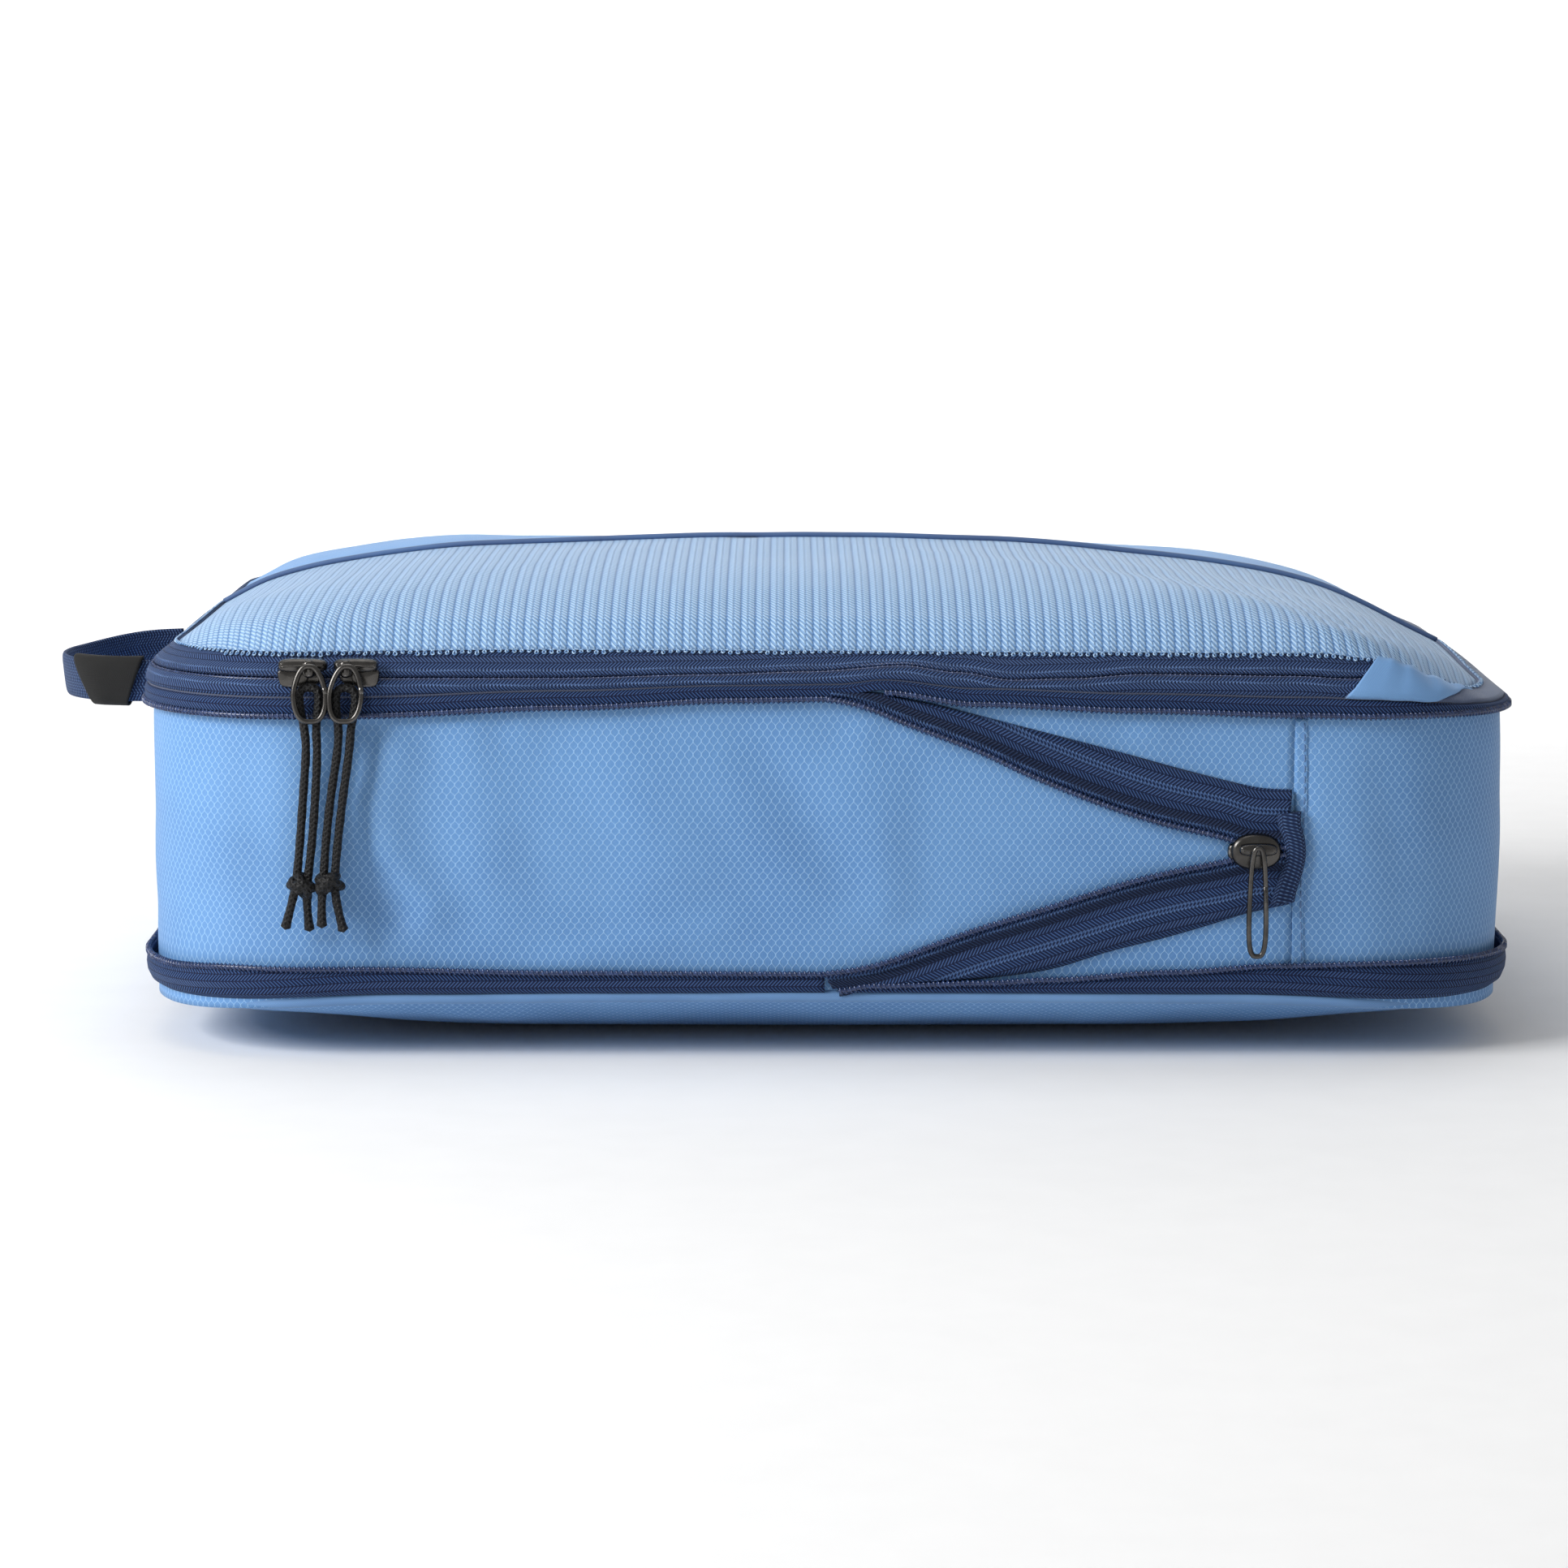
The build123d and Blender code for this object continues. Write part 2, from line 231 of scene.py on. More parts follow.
def ripstop(name, base, light, dark, cell=(2.1, 2.9)):
    N = Nodes(name)
    u, v = N.uv()
    a, b = N.m("DIVIDE", u, cell[0]), N.m("DIVIDE", v, cell[1])
    b = N.m("MULTIPLY_ADD", N.m("SINE", N.m("MULTIPLY", b, 4 * math.pi)), -0.8 / (4 * math.pi), b)
    l1 = soft_line(N, N.m("ADD", a, b), 0.10)
    l2 = soft_line(N, N.m("SUBTRACT", a, b), 0.10)
    lines = N.m("MAXIMUM", l1, l2)
    fine = N.noise(N.vec(N.m("MULTIPLY", u, 3.0), N.m("MULTIPLY", v, 1.1)), 1.0, 2.0)
    blotch = N.noise(N.vec(u, v), 0.021, 3.0)
    c = N.mix(N.ramp(blotch, 0.3, 0.7), dark, base)
    c = N.mix(N.m("MULTIPLY", lines, 0.66), c, light)
    c = N.mix(N.m("MULTIPLY", N.ramp(fine, 0.45, 0.75), 0.12), c, light)
    h = N.m("ADD", N.m("MULTIPLY", lines, 1.0), N.m("MULTIPLY", fine, 0.35))
    nrm = N.bump(h, 0.00012, 0.55)
    rough = N.m("SUBTRACT", 0.58, N.m("MULTIPLY", lines, 0.12))
    return N.done(c, rough, nrm, sheen=0.06, tint=(0.7, 0.84, 1, 1), spec=0.35)


def plain_cloth(name, base, dark, pitch=0.45):
    N = Nodes(name)
    u, v = N.uv()
    wu = N.m("SINE", N.m("MULTIPLY", u, 2 * math.pi / pitch))
    wv = N.m("SINE", N.m("MULTIPLY", v, 2 * math.pi / pitch))
    weave = N.m("MULTIPLY", wu, wv)
    blotch = N.noise(N.vec(u, v), 0.03, 3.0)
    c = N.mix(N.ramp(blotch, 0.3, 0.72), dark, base)
    c = N.mix(N.m("MULTIPLY", N.ramp(weave, -1.0, 1.0), 0.10), c, (1, 1, 1, 1))
    nrm = N.bump(weave, 0.00006, 0.5)
    return N.done(c, 0.62, nrm, sheen=0.22, tint=(0.85, 0.92, 1, 1), spec=0.35)


def herringbone(name, base, light, dark, row=1.9, pitch=0.95, stitches=(), gutter=None):
    """Zip tape: rows of slanted ribs along the tape, with dotted rows of thread at given places across it."""
    N = Nodes(name)
    u, v = N.uv()
    r = N.m("DIVIDE", v, row)
    cellf = N.m("FRACT", r)
    flip = N.m("FRACT", N.m("MULTIPLY", N.m("FLOOR", r), 0.5))       # 0 or 0.5
    sgn = N.m("SUBTRACT", 1.0, N.m("MULTIPLY", flip, 4.0))            # 1 or -1
    slant = N.m("MULTIPLY", N.m("MULTIPLY", N.m("SUBTRACT", cellf, 0.5), row * 0.95), sgn)
    ph = N.m("DIVIDE", N.m("ADD", u, slant), pitch)
    ribs = N.m("MULTIPLY_ADD", N.m("SINE", N.m("MULTIPLY", ph, 2 * math.pi)), 0.5, 0.5)
    edge = N.m("ABSOLUTE", N.m("SUBTRACT", cellf, 0.5))
    ribs = N.m("MULTIPLY", ribs, N.ramp(edge, 0.5, 0.40))
    c = N.mix(N.ramp(ribs, 0.15, 0.95), dark, base)
    c = N.mix(N.m("MULTIPLY", N.ramp(ribs, 0.6, 1.0), 0.55), c, light)
    h = ribs
    for place, dot in stitches:
        across = N.m("ABSOLUTE", N.m("SUBTRACT", v, place))
        along = N.m("MULTIPLY_ADD", N.m("SINE", N.m("MULTIPLY", u, 2 * math.pi / dot)), 0.5, 0.5)
        s = N.m("MULTIPLY", N.ramp(across, 0.55, 0.2), N.ramp(along, 0.25, 0.7))
        c = N.mix(N.m("MULTIPLY", s, 0.85), c, light)
        h = N.m("ADD", h, N.m("MULTIPLY", s, 1.6))
    if gutter:
        # painted shade: the colour darkens towards a third of the dark tone along the gutter beside the teeth
        g = N.m("ABSOLUTE", N.m("SUBTRACT", v, gutter))
        c = N.mix(N.m("MULTIPLY", N.ramp(g, 1.9, 0.3), 0.7), c, tuple(x * 0.35 for x in dark[:3]) + (1,))
    fibre = N.noise(N.vec(N.m("MULTIPLY", u, 2.2), N.m("MULTIPLY", v, 2.2)), 1.0, 2.0)
    c = N.mix(N.m("MULTIPLY", fibre, 0.22), c, dark)
    nrm = N.bump(h, 0.00026, 0.9)
    return N.done(c, 0.7, nrm, sheen=0.10, tint=(0.5, 0.68, 1, 1), spec=0.22)


def knit_mesh(name):
    """Ribbed warp knit: wales run front to back, each with two columns of slanted loops."""
    N = Nodes(name)
    u, v = N.uv()
    wale = 3.7
    a = N.m("DIVIDE", u, wale)
    fa = N.m("FRACT", a)
    rib = N.m("MULTIPLY_ADD", N.m("COSINE", N.m("MULTIPLY", fa, 2 * math.pi)), -0.5, 0.5)
    half = N.m("FRACT", N.m("MULTIPLY", a, 2.0))
    flip = N.m("SUBTRACT", N.m("MULTIPLY", N.m("ROUND", fa), 2.0), 1.0)
    slant = N.m("MULTIPLY", N.m("SUBTRACT", half, 0.5), 1.25)
    loop = N.m("ADD", N.m("DIVIDE", v, 1.75), slant)
    bar = N.m("MULTIPLY_ADD", N.m("SINE", N.m("MULTIPLY", loop, 2 * math.pi)), 0.5, 0.5)
    col = N.ramp(N.m("ABSOLUTE", N.m("SUBTRACT", half, 0.5)), 0.5, 0.22)
    thread = N.m("MULTIPLY", N.ramp(bar, 0.25, 0.8), col)
    hole = N.m("MULTIPLY", N.ramp(bar, 0.32, 0.05), N.ramp(N.m("ABSOLUTE", N.m("SUBTRACT", half, 0.5)), 0.2, 0.45))
    base, light, dark = lin(112, 153, 200), lin(182, 213, 242), lin(60, 100, 152)
    c = N.mix(N.m("MULTIPLY", rib, 0.5), base, lin(146, 180, 214))
    c = N.mix(N.m("MULTIPLY", thread, 0.8), c, light)
    c = N.mix(N.m("MULTIPLY", hole, 0.85), c, dark)
    c = N.mix(N.m("MULTIPLY", soft_line(N, a, 0.09), 0.3), c, dark)
    h = N.m("ADD", N.m("MULTIPLY", rib, 1.0), N.m("MULTIPLY", thread, 0.9))
    nrm = N.bump(h, 0.0004, 0.7)
    return N.done(c, 0.6, nrm, sheen=0.25, tint=(0.9, 0.95, 1, 1), spec=0.35)


def nylon(name, base, light):
    N = Nodes(name)
    n = N.noise(N.obj(), 900.0, 2.0)
    c = N.mix(N.ramp(n, 0.4, 0.8), base, light)
    return N.done(c, 0.24, N.bump(n, 0.00003, 0.4), sheen=0.0, spec=0.7)


def webbing_mat(name, base, light, dark, pitch=0.9):
    """Ribbed webbing: ribs across, with a slight chevron."""
    N = Nodes(name)
    u, v = N.uv()
    tri = N.m("ABSOLUTE", N.m("SUBTRACT", N.m("FRACT", N.m("DIVIDE", v, 5.2)), 0.5))
    ph = N.m("ADD", N.m("DIVIDE", u, pitch), N.m("MULTIPLY", tri, 3.2))
    rib = N.m("MULTIPLY_ADD", N.m("SINE", N.m("MULTIPLY", ph, 2 * math.pi)), 0.5, 0.5)
    cross = N.m("MULTIPLY_ADD", N.m("SINE", N.m("MULTIPLY", v, 2 * math.pi / 0.8)), 0.5, 0.5)
    k = N.m("MULTIPLY", rib, N.m("MULTIPLY_ADD", cross, 0.4, 0.6))
    c = N.mix(N.ramp(k, 0.1, 0.9), dark, base)
    c = N.mix(N.m("MULTIPLY", N.ramp(k, 0.55, 1.0), 0.6), c, light)
    return N.done(c, 0.66, N.bump(k, 0.0003, 0.9), sheen=0.10, tint=(0.6, 0.75, 1, 1), spec=0.22)


def braid_mat(name):
    N = Nodes(name)
    u, v = N.uv()                                 # u along, v round, millimetres
    a = N.m("DIVIDE", u, 1.5)
    b = N.m("DIVIDE", v, 1.73)
    s1 = N.m("MULTIPLY_ADD", N.m("SINE", N.m("MULTIPLY", N.m("ADD", a, b), 2 * math.pi)), 0.5, 0.5)
    s2 = N.m("MULTIPLY_ADD", N.m("SINE", N.m("MULTIPLY", N.m("SUBTRACT", a, b), 2 * math.pi)), 0.5, 0.5)
    k = N.m("MAXIMUM", s1, s2)
    c = N.mix(N.ramp(k, 0.3, 1.0), (0.001, 0.001, 0.001, 1), (0.010, 0.010, 0.011, 1))
    return N.done(c, 0.55, N.bump(k, 0.0003, 0.9), sheen=0.03, spec=0.3)


def metal(name, base=(0.10, 0.095, 0.09, 1), rough=0.19):
    N = Nodes(name)
    n = N.noise(N.obj(), 260.0, 3.0)
    f = N.noise(N.obj(), 1400.0, 2.0)
    g = N.new("ShaderNodeNewGeometry")
    # painted highlight: convex edges, picked out by pointiness, are lightened towards mid grey
    edge_highlight = N.ramp(g.outputs["Pointiness"], 0.53, 0.62)
    c = N.mix(N.ramp(n, 0.35, 0.75), base, tuple(x * 0.62 for x in base[:3]) + (1,))
    c = N.mix(N.m("MULTIPLY", edge_highlight, 0.5), c, (0.30, 0.29, 0.28, 1))
    r = N.m("ADD", rough, N.m("MULTIPLY", n, 0.16))
    return N.done(c, r, N.bump(f, 0.00002, 0.35), metallic=1.0)


def label_mat(name):
    N = Nodes(name)
    u, v = N.uv()
    w = N.m("MULTIPLY", N.m("SINE", N.m("MULTIPLY", u, 2 * math.pi / 0.35)), N.m("SINE", N.m("MULTIPLY", v, 2 * math.pi / 0.35)))
    c = N.mix(N.ramp(w, -1, 1), (0.006, 0.006, 0.006, 1), (0.017, 0.017, 0.017, 1))
    return N.done(c, 0.75, N.bump(w, 0.00005, 0.5), sheen=0.05, spec=0.2)


MAT = {
    "ripstop": ripstop("ripstop", lin(100, 147, 200), lin(160, 200, 238), lin(88, 134, 188)),
    "plain": plain_cloth("plain_cloth", lin(110, 163, 219), lin(98, 151, 207)),
    # painted shade: darker copy of the plain cloth, for the bottom edge roll low by the floor
    "pipe": plain_cloth("piped_edge_painted_shade", lin(92, 140, 192), lin(78, 126, 179)),
    "mesh": knit_mesh("knit_mesh"),
    "tape": herringbone("zip_tape", lin(29, 56, 104), lin(84, 118, 172), lin(9, 22, 56)),
    "tape_main": herringbone("main_zip_tape", lin(38, 64, 111), lin(96, 126, 176), lin(14, 29, 62), stitches=((1.6, 0.9),)),
    "tape_strip": herringbone("strip_tape", lin(34, 60, 107), lin(88, 120, 172), lin(12, 26, 59), row=2.05, pitch=1.0,
                              stitches=((1.75, 0.9), (8.6, 1.0), (9.9, 1.0)), gutter=3.1),
    "navy": plain_cloth("navy_cloth", lin(58, 80, 118), lin(46, 66, 104)),
    "pipe_navy": plain_cloth("seam_piping", lin(50, 94, 146), lin(36, 74, 124)),
    "coil": nylon("coil_nylon", lin(24, 42, 82), lin(52, 76, 124)),
    "web": webbing_mat("webbing", lin(44, 68, 112), lin(108, 138, 180), lin(18, 33, 66)),
    # painted shade: darker copy of the navy cloth, for the rim roll in the groove under the band
    "navy_shaded": plain_cloth("navy_fold_painted_shade", lin(30, 46, 82), lin(22, 36, 68)),
    "cord": braid_mat("braided_cord"),
    "metal": metal("gunmetal"),
    "label": label_mat("label_cloth"),
    "thread": plain_cloth("stitch_thread", lin(96, 140, 190), lin(70, 112, 166), 0.3),
}

# ------------------------------------------------------------------ outline of the body, millimetres
HL, HW, R = 177.5, 122.0, 45.0
CX, CY = HL - R, HW - R
ARC = math.pi / 2 * R
SEG = np.cumsum([0, CX, ARC, 2 * CY, ARC, 2 * CX, ARC, 2 * CY, ARC, CX])
PER = SEG[-1]


def ring(s):
    """x, y, outward nx, ny of the outline; s runs from the middle of the back round by the handle end and the front."""
    s = np.mod(np.asarray(s, float), PER)
    k = np.clip(np.searchsorted(SEG, s, side="right") - 1, 0, 8)
    d = s - SEG[k]
    ang = np.zeros_like(s)
    x = np.zeros_like(s)
    y = np.zeros_like(s)
    starts = {1: (-CX, CY, 90), 3: (-CX, -CY, 180), 5: (CX, -CY, 270), 7: (CX, CY, 0)}
    for seg, (cx, cy, a0) in starts.items():
        mk = k == seg
        a = np.radians(a0) + d[mk] / R
        ang[mk] = a
        x[mk] = cx + R * np.cos(a)
        y[mk] = cy + R * np.sin(a)
    for seg, (fx, fy, a0) in {0: (lambda t: -t, lambda t: HW + 0 * t, 90), 2: (lambda t: -HL + 0 * t, lambda t: CY - t, 180),
                              4: (lambda t: -CX + t, lambda t: -HW + 0 * t, 270), 6: (lambda t: HL + 0 * t, lambda t: -CY + t, 0),
                              8: (lambda t: CX - t, lambda t: HW + 0 * t, 90)}.items():
        mk = k == seg
        ang[mk] = np.radians(a0)
        x[mk] = fx(d[mk])
        y[mk] = fy(d[mk])
    return x, y, np.cos(ang), np.sin(ang)


S_FRONT = PER / 2                               # s of the middle of the front; s = S_FRONT + x along it
S_LEFT = SEG[2] + CY                            # middle of the handle end
S_RIGHT = SEG[6] + CY                           # middle of the hinge end


def by_s(pairs):
    """Function of s through the pairs (s, value), going round."""
    pairs = sorted(pairs)
    xs = np.array([p[0] for p in pairs])
    ys = np.array([p[1] for p in pairs])
    xs = np.concatenate([xs - PER, xs, xs + PER])
    ys = np.concatenate([ys, ys, ys])

    def f(s):
        s = np.mod(s, PER)
        i = np.clip(np.searchsorted(xs, s, side="right") - 1, 0, len(xs) - 2)
        t = smooth((s - xs[i]) / np.maximum(xs[i + 1] - xs[i], 1e-6))
        return ys[i] * (1 - t) + ys[i + 1] * t
    return f


def build(name, verts, faces, uvs, mat, smooth_shade=True):
    """verts in millimetres; uvs one per corner in millimetres."""
    me = bpy.data.meshes.new(name)
    me.from_pydata((np.asarray(verts, float) * MM).tolist(), [], [tuple(int(i) for i in f) for f in faces])
    lay = me.uv_layers.new(name="cloth")
    lay.data.foreach_set("uv", (np.asarray(uvs, float) * MM).ravel())
    me.materials.append(MAT[mat])
    if smooth_shade:
        me.polygons.foreach_set("use_smooth", [True] * len(me.polygons))
    me.validate()
    ob = bpy.data.objects.new(name, me)
    scene.collection.objects.link(ob)
    return ob


def grid_faces(ns, nv, close_s, close_v):
    i, j = np.meshgrid(np.arange(ns if close_s else ns - 1), np.arange(nv if close_v else nv - 1), indexing="ij")
    i, j = i.ravel(), j.ravel()
    i2, j2 = (i + 1) % ns, (j + 1) % nv
    return np.stack([i * nv + j, i2 * nv + j, i2 * nv + j2, i * nv + j2], 1), i, j


def sheet_grid(name, pts, u, v, mat, flip=False, close_s=False):
    """A surface through pts[ns, nv, 3]; u[ns(+1)], v[nv] or [ns, nv] are cloth coordinates."""
    ns, nv = pts.shape[:2]
    f, i, j = grid_faces(ns, nv, close_s, False)
    u = np.asarray(u, float)
    if u.ndim == 1:
        u = np.repeat(u[:, None], nv, 1)
    v = np.asarray(v, float)
    if v.ndim == 1:
        v = np.repeat(v[None, :], u.shape[0], 0)
    i2 = i + 1
    if not close_s:
        i2 = np.minimum(i2, ns - 1)
    elif v.shape[0] == ns:
        v = np.vstack([v, v[:1]])
    c = np.stack([np.stack([u[i, j], v[i, j]], 1), np.stack([u[i2, j], v[i2, j]], 1),
                  np.stack([u[i2, j + 1], v[i2, j + 1]], 1), np.stack([u[i, j + 1], v[i, j + 1]], 1)], 1)
    if flip:
        f = f[:, ::-1]
        c = c[:, ::-1]
    return build(name, pts.reshape(-1, 3), f, c.reshape(-1, 2), mat)


def solid(ob, thick, offset=-1.0):
    """Gives a sheet its thickness, offset -1 inwards."""
    md = ob.modifiers.new("thick", "SOLIDIFY")
    md.thickness = thick * MM
    md.offset = offset
    md.use_even_offset = False
    dg = bpy.context.evaluated_depsgraph_get()
    me = bpy.data.meshes.new_from_object(ob.evaluated_get(dg))
    ob.modifiers.clear()
    old = ob.data
    ob.data = me
    bpy.data.meshes.remove(old)
    return ob


def closed_band(name, s, off, z, v, mat, ring_closed=False, shift=None):
    """Sweep of a closed cross-section: off, z are [ns, np] of a loop anticlockwise seen along +s; v [ns, np + 1] across it."""
    s = np.asarray(s, float)
    x, y, nx, ny = ring(s)
    ns, npf = off.shape
    pts = np.stack([x[:, None] + nx[:, None] * off, y[:, None] + ny[:, None] * off, z], 2)
    if shift is not None:
        pts = pts + shift
    f, i, j = grid_faces(ns, npf, ring_closed, True)
    ue = np.append(s, s[0] + PER) if ring_closed else s
    i2 = i + 1
    if v.ndim == 1:
        v = np.repeat(v[None, :], ns, 0)
    vv = np.vstack([v, v[:1]]) if ring_closed else v
    c = np.stack([np.stack([ue[i], vv[i, j]], 1), np.stack([ue[i2], vv[i2, j]], 1),
                  np.stack([ue[i2], vv[i2, j + 1]], 1), np.stack([ue[i], vv[i, j + 1]], 1)], 1)
    faces = [tuple(q) for q in f]
    uvs = c.reshape(-1, 2).tolist()
    if not ring_closed:
        for row, rev in ((0, False), (ns - 1, True)):
            loop = [row * npf + q for q in range(npf)]
            uvl = [[ue[row], vv[row, q]] for q in range(npf)]
            if not rev:
                loop, uvl = loop[::-1], uvl[::-1]
            faces.append(tuple(loop))
            uvs += uvl
    ob = build(name, pts.reshape(-1, 3), faces, uvs, mat)
    fix_normals(ob)
    return ob


def fix_normals(ob):
    bm = bmesh.new()
    bm.from_mesh(ob.data)
    bmesh.ops.recalc_face_normals(bm, faces=bm.faces)
    bm.to_mesh(ob.data)
    bm.free()


def strip_profile(outer, thick):
    """Closed loop from an outer line [ns, n, 2] (off, z), moved in by its thickness; returns off, z, v."""
    d = np.gradient(outer, axis=1)
    ln = np.maximum(np.linalg.norm(d, axis=2, keepdims=True), 1e-6)
    n = np.stack([d[..., 1], -d[..., 0]], 2) / ln           # outward when the line climbs
    inner = outer - n * thick
    loop = np.concatenate([outer, inner[:, ::-1]], 1)
    seg = np.linalg.norm(np.diff(loop, axis=1, append=loop[:, :1]), axis=2)
    v = np.concatenate([np.zeros((loop.shape[0], 1)), np.cumsum(seg, 1)], 1)
    return loop[..., 0], loop[..., 1], v


def tube(name, line, radius, sides, mat, twist=0.0, squash_n=None, flat=1.0):
    """Mesh tube along a line in millimetres with round ends."""
    line = np.asarray(line, float)
    n = len(line)
    t = np.gradient(line, axis=0)
    t /= np.maximum(np.linalg.norm(t, axis=1, keepdims=True), 1e-9)
    up = np.zeros_like(t)
    ref = np.array([0.0, 0.0, 1.0]) if abs(t[0, 2]) < 0.9 else np.array([0.0, 1.0, 0.0])
    ref = ref - t[0] * ref.dot(t[0])
    up[0] = ref / np.linalg.norm(ref)
    for k in range(1, n):
        w = up[k - 1] - t[k] * up[k - 1].dot(t[k])
        up[k] = w / max(np.linalg.norm(w), 1e-9)
    side = np.cross(t, up)
    r = np.broadcast_to(np.asarray(radius, float), (n,))
    a = np.arange(sides) / sides * 2 * math.pi
    ln = np.concatenate([[0], np.cumsum(np.linalg.norm(np.diff(line, axis=0), axis=1))])
    pts = line[:, None] + r[:, None, None] * (np.cos(a)[None, :, None] * side[:, None] + flat * np.sin(a)[None, :, None] * up[:, None])
    f, i, j = grid_faces(n, sides, False, True)
    circ = 2 * math.pi * float(r.mean()) / sides
    c = np.stack([np.stack([ln[i], j * circ], 1), np.stack([ln[i + 1], j * circ], 1),
                  np.stack([ln[i + 1], (j + 1) * circ], 1), np.stack([ln[i], (j + 1) * circ], 1)], 1)
    faces = [tuple(q) for q in f]
    uvs = c.reshape(-1, 2).tolist()
    verts = pts.reshape(-1, 3).tolist()
    for row, sgn in ((0, -1), (n - 1, 1)):
        verts.append((line[row] + sgn * t[row] * r[row] * 0.6).tolist())
        top = len(verts) - 1
        for q in range(sides):
            a1, a2 = row * sides + q, row * sides + (q + 1) % sides
            faces.append((a1, top, a2) if sgn < 0 else (a1, a2, top))
            uvs += [[ln[row], q * circ], [ln[row], q * circ], [ln[row], (q + 1) * circ]]
    ob = build(name, verts, faces, uvs, mat)
    fix_normals(ob)
    return ob


def resample(line, step):
    line = np.asarray(line, float)
    ln = np.concatenate([[0], np.cumsum(np.linalg.norm(np.diff(line, axis=0), axis=1))])
    n = max(int(round(ln[-1] / step)), 2)
    q = np.linspace(0, ln[-1], n + 1)
    return np.stack([np.interp(q, ln, line[:, k]) for k in range(3)], 1), q


def helix(line, up, out, pitch, half, depth, per_turn=6, phase=0.0):
    """Flattened coil along a line: half its width across, depth its half height."""
    ln = np.concatenate([[0], np.cumsum(np.linalg.norm(np.diff(line, axis=0), axis=1))])
    turns = ln[-1] / pitch
    m = int(turns * per_turn)
    q = np.linspace(0, ln[-1], m)
    p = np.stack([np.interp(q, ln, line[:, k]) for k in range(3)], 1)
    u = np.stack([np.interp(q, ln, up[:, k]) for k in range(3)], 1)
    o = np.stack([np.interp(q, ln, out[:, k]) for k in range(3)], 1)
    a = q / pitch * 2 * math.pi + phase
    sx = np.sign(np.cos(a)) * np.abs(np.cos(a)) ** 0.7
    return p + u * (half * sx)[:, None] + o * (depth * np.sin(a))[:, None]


def coil(name, line, up, out, mat="coil", pitch=1.27, half=0.72, depth=0.5, wire=0.33, per_turn=6, sides=5, base=True):
    """Teeth of a coil zip as a real flattened helix, on the cord that runs through it."""
    path = helix(line, up, out, pitch, half, depth, per_turn)
    teeth = tube(name, path, wire, sides, mat)
    if base:
        core = tube(name + "_core", line, min(half, 0.62), 6, mat)
        join([teeth, core])
    return teeth


def join(obs):
    """Joins meshes into the first one."""
    bm = bmesh.new()
    for o in obs:
        bm.from_mesh(o.data)
    mats = [m for m in obs[0].data.materials]
    me = obs[0].data
    # uv layers carry the same name in all of them
    bm.to_mesh(me)
    bm.free()
    for o in obs[1:]:
        d = o.data
        bpy.data.objects.remove(o)
        bpy.data.meshes.remove(d)
    return obs[0]

# ------------------------------------------------------------------ levels round the body, read from the photograph
z_lip = by_s([(S_LEFT, 88.0), (S_FRONT - 150, 88.1), (S_FRONT - 122, 88.3), (S_FRONT - 66, 90.4), (S_FRONT - 24.5, 92.2),
              (S_FRONT + 2, 92.6), (S_FRONT + 14, 94.2), (S_FRONT + 38, 91.2), (S_FRONT + 79, 89.6), (S_FRONT + 121, 88.4),
              (S_FRONT + 141, 88.0), (SEG[6] - 10, 87.0), (S_RIGHT, 87.6), (SEG[7] + 20, 87.2), (PER - 120, 88.3), (PER - 40, 89.0), (60, 88.6), (SEG[1] + 20, 88.0)])
z_groove = by_s([(S_LEFT, 98.6), (S_FRONT - 140, 98.8), (S_FRONT - 70, 98.9), (S_FRONT - 30, 99.7), (S_FRONT - 5, 100.4), (S_FRONT + 19, 101.8),
                 (S_FRONT + 33, 100.2), (S_FRONT + 47, 98.4), (S_FRONT + 62, 98.7), (S_FRONT + 80, 99.7), (S_FRONT + 118, 99.3), (S_FRONT + 134, 98.6),
                 (PER - 134, 98.6), (PER - 60, 99.2), (40, 98.4), (SEG[1], 98.8)])
z_low = by_s([(S_LEFT, 24.0), (S_FRONT - 177, 23.3), (S_FRONT - 150, 24.8), (S_FRONT - 122, 24.8), (S_FRONT - 66, 23.8), (S_FRONT - 1, 23.5),
              (S_FRONT + 3, 19.2), (S_FRONT + 11, 20.4), (S_FRONT + 41, 21.2), (S_FRONT + 56, 22.0), (S_FRONT + 88, 24.0), (S_FRONT + 116, 25.7), (S_FRONT + 141, 26.2), (SEG[6], 24.6), (S_RIGHT, 24.4), (SEG[8], 24.8), (0, 23.6), (SEG[1], 24.4)])
lean = by_s([(0, 5.0), (SEG[1], 5.2), (S_LEFT, 8.6), (SEG[3] + 20, 6.6), (SEG[4], 5.0), (SEG[5], 5.0), (SEG[5] + 35, 5.8), (S_RIGHT, 4.6), (SEG[8] - 35, 5.8), (SEG[8], 5.0)])


rim_of_s = by_s([(0, 104.6), (SEG[1], 104.4), (SEG[2], 104.0), (S_LEFT, 105.2), (SEG[3], 103.8), (SEG[4] - 10, 104.4), (S_FRONT - 80, 105.0),
                 (S_FRONT, 104.7), (S_FRONT + 60, 104.3), (S_FRONT + 125, 104.1), (S_FRONT + 138.7, 102.8), (S_FRONT + 146, 101.0), (S_FRONT + 156, 97.8),
                 (S_FRONT + 168, 94.8), (S_FRONT + 181, 92.9), (S_FRONT + 203, 92.9), (S_RIGHT, 94.2), (PER - 203, 93.0), (PER - 181, 93.0),
                 (PER - 168, 94.8), (PER - 156, 97.8), (PER - 146, 101.0), (PER - 138.7, 102.8), (PER - 125, 104.1)])


def z_rim(s):
    """Height of the seam between the lid's cloth and the zip band."""
    return rim_of_s(s)


